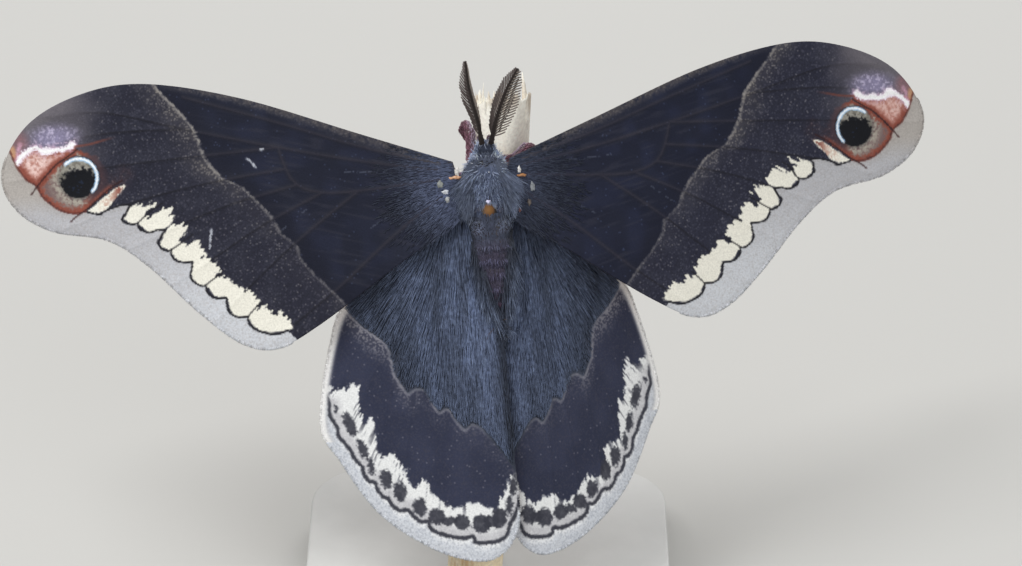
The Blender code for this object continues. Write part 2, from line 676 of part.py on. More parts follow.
object_from(loft(stick_rings()), "stick", solids, slope, wood)
stick_room = cutter_from(loft(stick_rings(GAP)), "stick_room", slope)
make_base()
make_rod("front", ROD_FRONT_Y, stick_room)
make_rod("back", ROD_BACK_Y, stick_room)
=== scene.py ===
# %% [markdown]
# # A promethea silkmoth, life size, on its stick
#
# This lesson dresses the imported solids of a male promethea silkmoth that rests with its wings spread.
# The solids fix every place and size. What is made here is what the eye meets: scales, hair, feathered
# antennae, wood grain and the finish of the stand. Lengths are written in millimetres.

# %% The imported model, and the box that the dressed moth must keep to
import math

import bmesh
import bpy
import numpy as np
from mathutils import Matrix, Vector
from mathutils.geometry import delaunay_2d_cdt


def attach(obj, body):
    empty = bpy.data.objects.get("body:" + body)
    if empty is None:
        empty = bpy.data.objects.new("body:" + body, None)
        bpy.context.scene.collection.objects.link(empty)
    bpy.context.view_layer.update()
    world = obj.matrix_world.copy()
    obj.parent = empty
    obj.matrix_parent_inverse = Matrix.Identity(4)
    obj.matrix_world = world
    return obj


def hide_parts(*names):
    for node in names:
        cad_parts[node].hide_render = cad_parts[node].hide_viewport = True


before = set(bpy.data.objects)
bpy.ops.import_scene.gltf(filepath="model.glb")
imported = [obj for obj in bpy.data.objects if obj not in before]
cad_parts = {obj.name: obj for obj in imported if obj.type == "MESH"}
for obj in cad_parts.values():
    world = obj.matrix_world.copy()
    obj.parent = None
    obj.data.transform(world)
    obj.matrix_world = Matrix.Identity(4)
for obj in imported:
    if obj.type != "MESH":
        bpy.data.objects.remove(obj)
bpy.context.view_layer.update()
MM = 0.001
draw = np.random.default_rng(7)
print("solids:", sorted(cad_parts))

# %% [markdown]
# ## Frames
#
# The stick leans back on its stand, so the moth's back faces up and forward. Two frames save a lot of
# sums: the slope's, whose z axis comes straight out of the stick's upper side, and the moth's own,
# turned a little on it, with x to its right, y towards its head and z out of its back.

# %% The slope's frame and the moth's
SLOPE = math.radians(60)
MOTH_TURN = math.radians(4)
THORAX_PLACE = (0, 7, 44)
SLOPE_FRAME = Matrix.Translation(Vector(THORAX_PLACE) * MM) @ Matrix.Rotation(SLOPE, 4, "X")
MOTH_FRAME = SLOPE_FRAME @ Matrix.Rotation(MOTH_TURN, 4, "Z")
print("the moth's back faces", [round(a, 2) for a in MOTH_FRAME.col[2][:3]])

# %% [markdown]
# ## Camera, floor and light
#
# The photo looks straight down on the moth's back through a long lens, from about 37 cm. A long lens
# keeps the far wing tip from shrinking. The light outdoors was soft and came from all round, a little
# more from the head's side, so one pale world and two wide lamps stand in for it.

# %% Camera
CAMERA_AIM = (2.286, -9.524)
CAMERA_DISTANCE = 365
camera = bpy.data.objects.new("camera", bpy.data.cameras.new("camera"))
camera.data.lens = 135
camera.data.sensor_width = 36
camera.data.clip_start = 0.01
camera.matrix_world = SLOPE_FRAME @ Matrix.Translation(Vector((*CAMERA_AIM, CAMERA_DISTANCE)) * MM)
bpy.context.scene.collection.objects.link(camera)
bpy.context.scene.camera = camera
print("camera height", round(camera.matrix_world.translation.z, 3), "m")


# %% Colours
def srgb(code):
    """The three parts of a hex colour, from 0 to 1."""
    return np.array([int(code[i : i + 2], 16) for i in (1, 3, 5)]) / 255


def linear(colour):
    """Turns sRGB, a hex code or an array, to the linear values that shaders use."""
    colour = srgb(colour) if isinstance(colour, str) else np.clip(colour, 0, 1)
    return np.where(colour <= 0.04045, colour / 12.92, ((colour + 0.055) / 1.055) ** 2.4)


def rgba(code):
    """A hex colour as a socket takes it: linear, with an alpha of 1."""
    return (*linear(code), 1.0)


print("mid grey is", linear("#808080").round(3)[0], "as a shader value")


# %% Shader nodes
def node(tree, kind, settings=(), **links):
    """Adds a shader node. Settings name its sockets or its own properties, and links feed its sockets."""
    made = tree.nodes.new("ShaderNode" + kind)
    for name, value in dict(settings).items():
        if name in made.inputs:
            made.inputs[name].default_value = value
        else:
            setattr(made, name, value)
    for name, source in links.items():
        tree.links.new(source, made.inputs[name.replace("_", " ")])
    return made


def material(name, **settings):
    """A Principled material: the tree and its shader come back with it."""
    made = bpy.data.materials.new(name)
    made.use_nodes = True
    shader = made.node_tree.nodes["Principled BSDF"]
    for socket, value in settings.items():
        shader.inputs[socket.replace("_", " ")].default_value = value
    return made, made.node_tree, shader


def ramp(tree, source, stops):
    """A colour ramp with stops of (place, linear colour)."""
    made = node(tree, "ValToRGB", Fac=source)
    elements = made.color_ramp.elements
    while len(elements) < len(stops):
        elements.new(0.5)
    for element, (place, colour) in zip(elements, stops):
        element.position, element.color = place, colour
    return made


def per(millimetres):
    """The scale of a pattern whose features are this many millimetres across."""
    return 1 / (millimetres * MM)


# %% Floor and lamps
FLOOR_WIDTH = 1.6
DAYLIGHT = 0.45
half = FLOOR_WIDTH / 2
floor_corners = [(-half, -half, 0), (half, -half, 0), (half, half, 0), (-half, half, 0)]
floor_mesh = bpy.data.meshes.new("floor")
floor_mesh.from_pydata(floor_corners, [], [(0, 1, 2, 3)])
floor = bpy.data.objects.new("floor", floor_mesh)
bpy.context.scene.collection.objects.link(floor)
floor_mesh.materials.append(material("matt_studio_board", Base_Color=rgba("#C6C5C1"), Roughness=0.9)[0])

world = bpy.data.worlds.new("soft_daylight")
world.use_nodes = True
world.node_tree.nodes["Background"].inputs["Color"].default_value = rgba("#F4F5F7")
world.node_tree.nodes["Background"].inputs["Strength"].default_value = DAYLIGHT
bpy.context.scene.world = world
bpy.context.scene.view_settings.view_transform = "Standard"


def lamp(name, place, size, watts, aim=THORAX_PLACE):
    """A square soft lamp, placed in millimetres and turned to the moth."""
    data = bpy.data.lights.new(name, "AREA")
    data.size, data.energy = size, watts
    made = bpy.data.objects.new(name, data)
    made.location = Vector(place) * MM
    made.rotation_euler = (Vector(aim) - Vector(place)).to_track_quat("-Z", "Y").to_euler()
    bpy.context.scene.collection.objects.link(made)


lamp("sky_key", (-220, -60, 520), 0.28, 2.0)
lamp("sky_fill", (320, -420, 260), 0.40, 0.7)
lamp("back_rim", (120, 420, 300), 0.30, 0.9)
print("lights placed")

# %% [markdown]
# ## Making meshes
#
# Every piece ends as a mesh of plain points and faces. NumPy works out thousands of points at a time,
# which keeps the script quick. Each point carries its colour, so a marking on a wing is as sharp as the
# mesh is fine. The map OFBake gives each face its place on a flat plan of the skin.


# %% A piece from points and faces
def to_world(points, matrix):
    """Points in millimetres in one of the frames, turned to metres in the world."""
    matrix = np.array(matrix)
    return np.asarray(points, float) * MM @ matrix[:3, :3].T + matrix[:3, 3]


def piece(name, points, faces, finish, colours=None, plan=None, stands_for=(), matrix=MOTH_FRAME):
    """A shaded mesh in place, riding on the moth. Colours are sRGB, one for each point."""
    mesh = bpy.data.meshes.new(name)
    mesh.from_pydata(to_world(points, matrix), [], np.asarray(faces).tolist())
    if colours is not None:
        layer = mesh.color_attributes.new("scales", "FLOAT_COLOR", "POINT")
        layer.data.foreach_set("color", np.c_[linear(colours), np.ones(len(colours))].ravel())
    if plan is not None:
        corners = np.empty(len(mesh.loops), np.int32)
        mesh.loops.foreach_get("vertex_index", corners)
        mesh.uv_layers.new(name="OFBake").data.foreach_set("uv", np.asarray(plan)[corners].ravel())
    mesh.materials.append(finish)
    mesh.shade_smooth()
    made = bpy.data.objects.new(name, mesh)
    bpy.context.scene.collection.objects.link(made)
    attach(made, "root")
    if stands_for:
        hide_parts(*stands_for)
    print(name, len(mesh.polygons), "faces")


# %% Lines and areas on a flat plan, all in millimetres
def smooth_line(points, spacing=0.4):
    """Points close together on a smooth curve through the given ones."""
    p = np.array(points, float)
    slopes = np.vstack([p[1] - p[0], (p[2:] - p[:-2]) / 2, p[-1] - p[-2]])
    line = []
    for a, b, m, n in zip(p[:-1], p[1:], slopes[:-1], slopes[1:]):
        steps = max(1, round(float(np.linalg.norm(b - a)) / spacing))
        t = np.arange(steps)[:, None] / steps
        line.append(
            a * (2 * t**3 - 3 * t**2 + 1) + m * (t**3 - 2 * t**2 + t)
            + b * (3 * t**2 - 2 * t**3) + n * (t**3 - t**2)
        )
    return np.vstack([*line, p[-1:]])


FAR = 4.0  # no marking reaches further than this from its line


def distance(points, line):
    """How far each point is from a line of points, up to FAR."""
    line = np.asarray(line, float)
    near = np.all((points > line.min(0) - FAR) & (points < line.max(0) + FAR), axis=1)
    best = np.full(len(points), FAR)
    p = points[near]
    found = np.full(len(p), FAR)
    for a, b in zip(line[:-1], line[1:]):
        along = np.clip((p - a) @ (b - a) / max(float((b - a) @ (b - a)), 1e-9), 0, 1)
        found = np.minimum(found, np.hypot(*(a + along[:, None] * (b - a) - p).T))
    best[near] = found
    return best


def within(points, outline):
    """True where a point lies inside a closed outline."""
    x, y = points.T
    odd = np.zeros(len(points), bool)
    for (ax, ay), (bx, by) in zip(outline, np.roll(outline, -1, axis=0)):
        if ay != by:
            odd ^= ((ay > y) != (by > y)) & (x < ax + (y - ay) * (bx - ax) / (by - ay))
    return odd


def depth(points, outline):
    """Distance inside a closed outline, and less than nothing outside it."""
    outline = np.asarray(outline, float)
    return np.where(within(points, outline), 1, -1) * distance(points, np.vstack([outline, outline[:1]]))


print("a smooth bend through 3 points has", len(smooth_line([(0, 0), (4, 1), (8, 0)])), "points")


# %% Noise, soft edges and layers of colour
def blotches(points, size, seed):
    """Soft random values from 0 to 1, in blotches of about this size."""
    p = np.asarray(points) / size + seed * 17.31
    cell = np.floor(p)
    f = p - cell
    f = f * f * (3 - 2 * f)

    def corner(dx, dy):
        """A wild value at one corner of each point's cell."""
        wild = np.sin((cell[:, 0] + dx) * 127.1 + (cell[:, 1] + dy) * 311.7) * 43758.5453
        return wild - np.floor(wild)

    low = corner(0, 0) * (1 - f[:, 0]) + corner(1, 0) * f[:, 0]
    high = corner(0, 1) * (1 - f[:, 0]) + corner(1, 1) * f[:, 0]
    return low * (1 - f[:, 1]) + high * f[:, 1]


def ease(value, start, end):
    """0 at start and 1 at end, with soft ends. Start may be above end."""
    t = np.clip((value - start) / (end - start), 0, 1)
    return t * t * (3 - 2 * t)


def plain(code, count):
    """A first coat: one hex colour at every point."""
    return np.tile(srgb(code), (count, 1))


def cover(colours, paint, weight):
    """Lays a hex colour over the others, by a weight from 0 to 1 for each point."""
    colours += (srgb(paint) - colours) * np.clip(weight, 0, 1)[:, None]


# %% [markdown]
# ## The wings' shape
#
# A wing is a membrane a few hundredths of a millimetre thick, stiffened by veins and covered with
# scales. It could be one flat sheet, but the real one sags between its veins and bows along its length.
# So the outline is filled with a fine net of triangles, which is then bent in space: the same numbers
# as the solids have say how each wing hangs. A net this fine also carries the markings.

# %% Outlines and veins, u outward from the root and v towards the head
FORE_OUTLINE = [
    (0.2, 1.3), (9.0, 4.6), (20.5, 8.9), (30.0, 11.0), (36.5, 10.4), (41.8, 7.9), (44.6, 3.6),
    (43.5, 0.0), (40.0, -2.4), (34.5, -3.7), (30.5, -6.5), (25.9, -11.2), (22.0, -14.4),
    (18.5, -15.2), (14.2, -13.3), (6.0, -8.0), (-0.6, -3.6),
]
FORE_VEINS = [
    [(1.5, 1.2), (9.0, 3.4), (17.0, 6.3), (26.0, 9.4)],
    [(1.5, 0.6), (9.0, 2.0), (17.0, 3.9), (26.0, 6.3), (34.0, 8.5), (39.8, 8.6)],
    [(26.0, 6.3), (34.0, 6.5), (42.6, 5.6)],
    [(17.0, 3.9), (26.0, 3.6), (35.0, 3.2), (43.9, 2.6)],
    [(16.4, 1.8), (24.0, 1.0), (32.0, -0.4), (39.0, -2.4)],
    [(15.4, 0.2), (22.0, -1.2), (28.0, -3.1), (32.2, -4.7)],
    [(13.0, -0.7), (19.0, -3.4), (24.0, -6.2), (28.2, -8.4)],
    [(9.5, -0.8), (15.0, -4.6), (20.0, -8.6), (24.2, -12.2)],
    [(1.5, -0.3), (9.5, -0.8), (13.0, -0.7), (15.4, 0.2), (16.4, 1.8), (17.0, 3.9)],
    [(1.5, -1.9), (6.5, -5.4), (12.5, -10.2), (18.6, -14.4)],
]
HIND_OUTLINE = [
    (-0.6, 1.6), (6.5, -2.4), (12.4, -7.0), (14.4, -11.2), (15.9, -18.7), (14.2, -22.3),
    (10.5, -27.7), (5.0, -31.5), (0.2, -32.6), (-2.4, -30.4), (-2.9, -26.5), (-2.5, -18.0),
    (-2.3, -9.0), (-1.9, -2.5), (-1.7, 0.6),
]
HIND_VEINS = [
    [(2.0, -1.0), (7.0, -6.0), (11.8, -11.5), (14.9, -18.0)],
    [(2.0, -2.4), (5.4, -6.6), (9.4, -12.6), (12.4, -18.4), (13.8, -22.0)],
    [(5.4, -6.6), (7.8, -13.2), (9.9, -20.0), (10.9, -26.4)],
    [(4.6, -8.4), (6.2, -14.8), (7.6, -21.6), (8.1, -28.8)],
    [(3.6, -9.2), (4.3, -16.0), (4.9, -23.4), (5.1, -30.8)],
    [(2.4, -8.6), (2.3, -15.8), (2.2, -23.6), (2.0, -31.6)],
    [(1.5, -6.2), (0.5, -14.6), (-0.3, -23.0), (-0.8, -31.2)],
    [(0.9, -2.8), (1.5, -6.2), (2.4, -8.6), (3.6, -9.2), (4.6, -8.4), (5.4, -6.6)],
]
for word, outline in (("forewing", FORE_OUTLINE), ("hindwing", HIND_OUTLINE)):
    print(word, "outline:", np.ptp(outline, axis=0).round(1), "mm")

# %% How each wing hangs
# Angles are in degrees. The arch is how far the wing's middle bows up.
FORE_LEFT = {"side": -1, "root": (2.9, 0.9, 1.2), "droop": 10, "twist": 0, "turn": 0, "arch": 0.9}
FORE_RIGHT = {"side": 1, "root": (2.1, 0.9, 1.2), "droop": 22, "twist": 9, "turn": 0, "arch": 0.6}
HIND_LEFT = {"side": -1, "root": (2.0, -3.2, 0.1), "droop": 12, "twist": 0, "turn": 0, "arch": 0.5}
HIND_RIGHT = {"side": 1, "root": (1.5, -3.2, -1.6), "droop": 34, "twist": 0, "turn": 2.5, "arch": 0.5}
TWIST_REACH = 16.0
INNER_DIP = 0.08
SAG = 0.05
SAG_REACH = 1.3
MEMBRANE = 0.16
VEIN_THICKNESS = 0.21
VEIN_REACH = 0.3


def hang_wing(flat, hang, length, vein_distance=None):
    """Where the wing's flat points (u, v) lie in the moth's frame."""
    turn, droop = math.radians(hang["turn"]), math.radians(hang["droop"])
    u = flat[:, 0] * math.cos(turn) - flat[:, 1] * math.sin(turn)
    v = flat[:, 0] * math.sin(turn) + flat[:, 1] * math.cos(turn)
    twist = math.radians(hang["twist"]) * ease(u, 0, TWIST_REACH)
    out = (u + np.sqrt(u * u + 1)) / 2  # u with a soft stop at 0, so that the droop sets in gently
    lift = hang["arch"] * np.sin(np.pi * np.clip(u / length, 0, 1)) - INNER_DIP * np.minimum(u, 0) ** 2
    if vein_distance is not None:
        lift = lift - SAG * ease(vein_distance, 0, SAG_REACH)
    x = hang["root"][0] + u - out * (1 - math.cos(droop))
    y = hang["root"][1] + v * np.cos(twist)
    z = hang["root"][2] - out * math.sin(droop) + v * np.sin(twist) + lift
    return np.c_[hang["side"] * x, y, z]


def unit(vectors):
    """Each row at a length of 1."""
    return vectors / np.maximum(np.linalg.norm(vectors, axis=1, keepdims=True), 1e-9)


def wing_ways(flat, hang, length, vein_distance=None):
    """Places on a wing, with the ways along u, along v and out of its upper side."""
    step = 0.05
    here = hang_wing(flat, hang, length, vein_distance)
    along_u = unit(hang_wing(flat + [step, 0], hang, length, vein_distance) - here)
    along_v = unit(hang_wing(flat + [0, step], hang, length, vein_distance) - here)
    return here, along_u, along_v, unit(np.cross(along_u, along_v)) * hang["side"]


print("droop of the left and the right forewing:", FORE_LEFT["droop"], FORE_RIGHT["droop"], "degrees")

# %% The net that fills an outline
NET_SPACING = 0.14


def net(outline, spacing):
    """Flat points in rows of triangles that fill the outline, and those triangles."""
    rim = smooth_line([*outline, outline[0]], spacing)[:-1]
    low, high = rim.min(0), rim.max(0)
    columns = np.arange(low[0], high[0], spacing)
    rows = np.arange(low[1], high[1], spacing * 0.87)
    grid = np.array([(u + spacing / 2 * (i % 2), v) for i, v in enumerate(rows) for u in columns])
    grid = grid[within(grid, rim)]
    grid = grid[distance(grid, np.vstack([rim, rim[:1]])) > spacing * 0.55]
    points = [Vector(p) for p in np.vstack([rim, grid])]
    edges = [(i, (i + 1) % len(rim)) for i in range(len(rim))]
    flat, _, faces, *_ = delaunay_2d_cdt(points, edges, [], 1, 1e-4, False)
    flat, faces = np.array([tuple(p) for p in flat]), np.array(faces)
    return flat, faces[within(flat[faces].mean(1), rim)], rim


def nearest_of(points, lines):
    """How far each point is from the nearest of several lines."""
    return np.min([distance(points, smooth_line(line, 1.0)) for line in lines], axis=0)


fore_flat, fore_faces, fore_rim = net(FORE_OUTLINE, NET_SPACING)
hind_flat, hind_faces, hind_rim = net(HIND_OUTLINE, NET_SPACING)
fore_vein_distance = nearest_of(fore_flat, FORE_VEINS)
hind_vein_distance = nearest_of(hind_flat, HIND_VEINS)
print("net points:", len(fore_flat), "in a forewing and", len(hind_flat), "in a hindwing")

# %% [markdown]
# ## Markings of the forewing
#
# A moth's colours are a mosaic: each scale has one colour, and a marking is where scales of one colour
# lie thick. A painted image could carry them, but it would blur close up. So they are drawn as on the
# moth, as lines and areas in wing millimetres whose edges are broken up by noise. Near the tip sits an
# eyespot: a black disc with a blue-white crescent, in a cream ring with a red-brown rim. Cream spots with
# a scalloped black line divide the dark field from the pale border.

# %% Lines and areas of the forewing
FORE_BAND = [  # the pale line across the wing
    (29.2, 11.4), (28.0, 9.8), (26.4, 8.0), (25.1, 6.4), (24.7, 5.2), (24.3, 3.7), (23.6, 2.5), (22.7, 1.4),
    (20.7, 0.4), (19.5, -0.9), (18.1, -2.6), (17.3, -4.3), (15.8, -5.5), (15.4, -7.0), (14.2, -8.5),
    (12.5, -10.3), (11.0, -12.0),
]
SCALLOPS = [  # the black line on the outer side of the cream spots, lobe by lobe
    [(36.3, -0.9), (35.1, -1.2), (34.4, -0.9), (32.9, -0.5), (31.9, -0.5)],
    [(31.9, -0.5), (32.5, -1.3), (32.9, -1.8), (32.6, -2.2), (31.9, -2.4), (31.3, -2.3)],
    [(31.3, -2.3), (31.3, -2.8), (30.9, -3.1), (30.2, -3.3), (29.4, -3.1), (28.7, -3.2)],
    [(28.7, -3.2), (29.1, -3.8), (29.5, -4.3), (29.2, -4.9), (28.6, -5.2), (28.2, -5.1)],
    [(28.2, -5.1), (28.2, -5.7), (27.8, -6.2), (27.0, -6.4), (26.2, -6.4)],
    [(26.2, -6.4), (26.3, -7.1), (26.5, -7.8), (26.1, -8.4), (25.4, -8.8), (25.0, -8.7)],
    [(25.0, -8.7), (25.0, -9.3), (24.5, -9.9), (23.8, -10.1), (23.1, -10.1)],
    [(23.1, -10.1), (23.1, -10.8), (22.9, -11.5), (22.1, -12.0), (21.1, -12.0)],
    [(21.1, -12.0), (21.1, -12.6), (20.6, -13.2), (19.8, -13.6), (18.5, -13.9), (17.3, -13.6)],
]
CREAM_SPOTS = [
    [(36.2, -0.8), (34.6, 0.3), (33.2, 1.2), (32.3, 1.3), (33.4, 0.3), (34.0, -0.4), (34.6, -0.8),
     (35.5, -1.0)],
    [(32.6, -1.8), (31.9, -0.8), (30.5, -0.3), (29.0, -0.1), (29.1, -0.6), (30.1, -1.3), (31.1, -2.1),
     (31.9, -2.3)],
    [(31.1, -2.4), (30.4, -1.8), (29.2, -1.1), (27.9, -0.9), (27.7, -1.7), (28.0, -2.6), (28.9, -3.0),
     (30.2, -3.2)],
    [(28.8, -3.7), (28.3, -3.0), (27.4, -2.6), (26.4, -2.6), (26.0, -3.3), (27.3, -4.5), (28.2, -5.0),
     (29.2, -4.6)],
    [(28.1, -5.2), (27.0, -4.5), (25.6, -4.1), (25.0, -4.8), (24.8, -5.9), (25.6, -6.3), (27.1, -6.3),
     (27.9, -5.8)],
    [(26.0, -6.4), (25.0, -5.9), (24.0, -6.2), (23.3, -7.2), (23.9, -7.9), (24.9, -8.6), (25.8, -8.5),
     (26.3, -7.6)],
    [(24.8, -8.7), (24.0, -8.1), (22.6, -7.8), (21.7, -8.8), (20.1, -9.7), (19.9, -10.7), (21.1, -11.9),
     (22.3, -11.8), (22.8, -11.0), (23.0, -10.0), (24.2, -9.8)],
    [(20.9, -12.3), (20.2, -11.2), (19.2, -10.9), (18.6, -11.6), (17.6, -11.7), (16.8, -13.2), (17.5, -13.5),
     (19.2, -13.6), (20.5, -13.0)],
]
# The right wing's pale border is wider: how far down the wing, and how far in its marks lie there.
BORDER_INSET = ((0.9, 2.0, 6.0, 13.0), (0.0, 0.8, 1.1, 1.5))
SPOT_GAPS = [[(31.2, -2.2), (30.2, -1.4), (28.8, -0.6)], [(28.2, -5.1), (27.3, -4.6), (26.0, -3.8)],
             [(25.0, -8.7), (24.4, -8.3), (23.4, -7.7)], [(21.1, -12.0), (20.6, -11.5), (19.8, -10.8)]]
TIP_EDGE = [(43.7, 5.6), (43.3, 4.5), (42.8, 3.5), (42.1, 2.6), (41.3, 2.05), (41.0, 1.5), (40.8, 1.0),
            (39.9, 0.1), (38.9, -0.6), (37.6, -0.95), (36.5, -0.85)]
OUTSIDE_WING = [(16.4, -14.6), (16.5, -18.0), (30.0, -12.0), (37.0, -7.0), (45.0, -4.0), (48.0, 2.0),
                (46.0, 6.5)]
FORE_BORDER = TIP_EDGE + [p for lobe in SCALLOPS for p in lobe[1:]] + OUTSIDE_WING
EYE_VEIN = [(36.9, 5.2), (38.2, 4.4), (39.1, 3.9), (40.3, 2.8), (41.1, 2.0), (41.8, 1.2)]
SPOT_VEIN = [(38.0, -1.7), (37.5, -1.3), (36.3, -0.6), (35.0, 0.4), (33.9, 1.2), (32.6, 1.9)]
EYE_FIELD = [*EYE_VEIN[:5], *TIP_EDGE[5:], (36.3, -0.6), (35.0, 0.4), (33.9, 1.2), (33.2, 1.8), (33.9, 3.0),
             (34.9, 4.4)]
TIP_PATCH = [(43.5, 5.2), (42.2, 5.4), (41.1, 5.8), (40.2, 5.4), (38.8, 5.3), (37.1, 5.6), *EYE_VEIN[:5],
             *TIP_EDGE[4:0:-1]]
ZIGZAG = [(43.1, 4.3), (42.6, 4.9), (42.1, 5.3), (41.5, 5.6), (40.9, 5.7), (40.4, 5.3), (39.7, 5.2),
          (38.9, 5.35), (38.2, 5.3), (37.3, 5.7)]
RED_LINE = [(37.1, 5.5), (35.6, 5.6), (34.6, 5.8), (33.0, 6.1)]
PINK_STREAK = [(43.1, 4.5), (42.95, 5.3), (42.6, 6.1)]
BROWN_CLOUD = [(34.8, 2.4), (33.2, 1.4), (32.4, 2.4)]
EYESPOT = (36.95, 2.42)
EYESPOT_RADIUS = 1.92
PUPIL = (36.95, 1.85)
PUPIL_HALF = (1.96, 1.5)
WORN = [[(20.2, 3.1), (19.8, 2.8), (19.3, 2.1)], [(18.7, 3.85), (18.5, 3.8)], [(24.1, -3.4), (24.4, -5.2)]]
BARE_LINES = [[(17.2, -4.0), (16.0, -3.2), (14.7, -2.2)], [(8.6, -4.4), (6.9, -3.5), (5.1, -2.5)],
              [(10.7, 1.1), (6.8, 0.8)]]


print(len(CREAM_SPOTS), "cream spots, and an eyespot", 2 * EYESPOT_RADIUS, "mm across")


# %% The eyespot's colours
def paint_eyespot(colours, p, fine, fuzz):
    """The eyespot with its ring, rim, disc and crescent."""
    from_middle = p - EYESPOT
    radius = np.hypot(*from_middle.T) + 0.12 * (fuzz - 0.5)
    angle = np.degrees(np.arctan2(from_middle[:, 1], from_middle[:, 0])) % 360
    mottled = 0.5 * fine + 0.5 * fuzz
    field = depth(p, smooth_line(EYE_FIELD, 0.5)) + 0.3 * (mottled - 0.5)
    root_side = ease(p[:, 0], 36.6, 35.2)
    fade = ease(p[:, 0], 33.6, 35.6)
    inside = ease(field, -0.05, 0.15)
    cover(colours, "#874739", inside * (1 - 0.75 * root_side) * fade)
    cover(colours, "#96665A", ease(field, 0.15, 0.7) * (1 - root_side))
    ring = ease(field + 0.5 * (mottled - 0.5), 0.3, 0.8) * (1 - ease(p[:, 0], 36.6, 35.6))
    cover(colours, "#75605F", ring)
    close = ease(radius, EYESPOT_RADIUS + 1.5, EYESPOT_RADIUS + 0.3)
    cover(colours, "#ABA498", ring * close * ease(mottled, 0.1, 0.6))
    cover(colours, "#4E3B40", root_side * fade * ease(field, 0.0, 0.5) * 0.75)
    strip = ease(distance(p, SPOT_VEIN[1:]), 0.55, 0.05) * ease(p[:, 0], 33.0, 34.4) * (field > -0.05)
    cover(colours, "#8F4C3C", strip * (0.6 + 0.4 * mottled))
    lit = ease(angle, 36, 70) * ease(angle, 240, 205)
    disc = ease(radius, EYESPOT_RADIUS + 0.06, EYESPOT_RADIUS - 0.06)
    cover(colours, "#17161C", ease(radius, EYESPOT_RADIUS + 0.36, EYESPOT_RADIUS + 0.1) * (0.25 + 0.75 * lit))
    cover(colours, "#77736A", disc)
    cover(colours, "#9B988F", disc * ease(p[:, 1], 2.5, 3.6) * ease(mottled, 0.3, 0.7))
    pupil = np.hypot(*((p - PUPIL) / PUPIL_HALF).T) + 0.55 * (mottled - 0.5)
    cover(colours, "#0C0E15", disc * ease(pupil, 1.12, 0.92))
    cover(colours, "#23304A", disc * ease(pupil, 0.9, 0.5) * (fine > 0.82) * 0.6)
    crescent = ease(np.abs(radius - EYESPOT_RADIUS + 0.04), 0.25, 0.1) * ease(lit, 0.05, 0.4)
    cover(colours, "#A9CFF2", crescent)
    cover(colours, "#F6FBFF", crescent * ease(np.abs(radius - EYESPOT_RADIUS + 0.02), 0.14, 0.04))


# %% The tip's colours
def paint_tip(colours, p, front, coarse, fine, fuzz):
    """The grey tip with its violet bloom and rosy wash, and a brown cloud beside the eyespot."""
    tip = ease(p[:, 0] + 1.2 * (coarse - 0.5), 32.5, 38.5) * ease(p[:, 1], 2.8, 5.0)
    cover(colours, "#5E5A61", tip * 0.9)
    cover(colours, "#7C777C", tip * ease(front, 1.6, 0.5) * (0.4 + 0.6 * fuzz) * ease(p[:, 0], 34, 39) * 0.6)
    bloom = ease(np.hypot((p[:, 0] - 39.1) / 3.7, (p[:, 1] - 6.5) / 1.8), 1.0, 0.25)
    cover(colours, "#958EB0", tip * bloom * (0.55 + 0.45 * fuzz))
    wash = ease(np.hypot((p[:, 0] - 42.7) / 1.5, (p[:, 1] - 6.3) / 1.6), 1.0, 0.2)
    cover(colours, "#93656A", tip * wash * (0.4 + 0.5 * fuzz))
    cover(colours, "#CFC6DE", tip * bloom * ease(fine, 0.5, 0.85) * 0.7)
    cover(colours, "#4F3536", ease(distance(p, BROWN_CLOUD), 1.5, 0.2) * 0.5 * fuzz)


def paint_tip_patch(colours, p, seed, side, fine, fuzz):
    """The pink patch between tip and eyespot, its white zigzag and the red line that runs in from it."""
    patch = depth(p, smooth_line(TIP_PATCH, 0.5)) + 0.25 * (fuzz - 0.5)
    lower = ease(distance(p, TIP_EDGE[:5]), 1.3, 0.1)
    cover(colours, "#8A4A3D", ease(patch, -0.05, 0.1))
    cover(colours, "#CF9F94", ease(patch, 0.15, 0.7) * (0.6 + 0.4 * fine) * (1 - 0.75 * lower))
    cover(colours, "#EBCDC6", ease(patch, 0.35, 1.1) * ease(fine, 0.1, 0.7) * (0.95 if side < 0 else 0.6))
    zigzag = distance(p, smooth_line(ZIGZAG, 0.3))
    thick = 0.1 + 0.34 * blotches(p, 0.9, seed + 5)
    cover(colours, "#C7A5BC", ease(zigzag, 0.95, 0.15) * ease(fine, 0.35, 0.9) * (patch > -0.7) * 0.8)
    cover(colours, "#D9A9C0", ease(distance(p, PINK_STREAK), 0.4, 0.05) * (0.3 + 0.6 * fuzz))
    cover(colours, "#F6ECF6", ease(zigzag + 0.3 * (fine - 0.5), thick + 0.1, thick - 0.02))
    cover(colours, "#FFFFFF", ease(zigzag, thick * 0.8, thick * 0.3))
    cover(colours, "#7A4338", ease(distance(p, RED_LINE), 0.17, 0.04) * ease(p[:, 0], 32.6, 35) * 0.75)
    cover(colours, "#CB9A74", ease(np.hypot(*((p - (43.45, 5.4)) / (0.5, 0.85)).T), 1.1, 0.4) * 0.85)


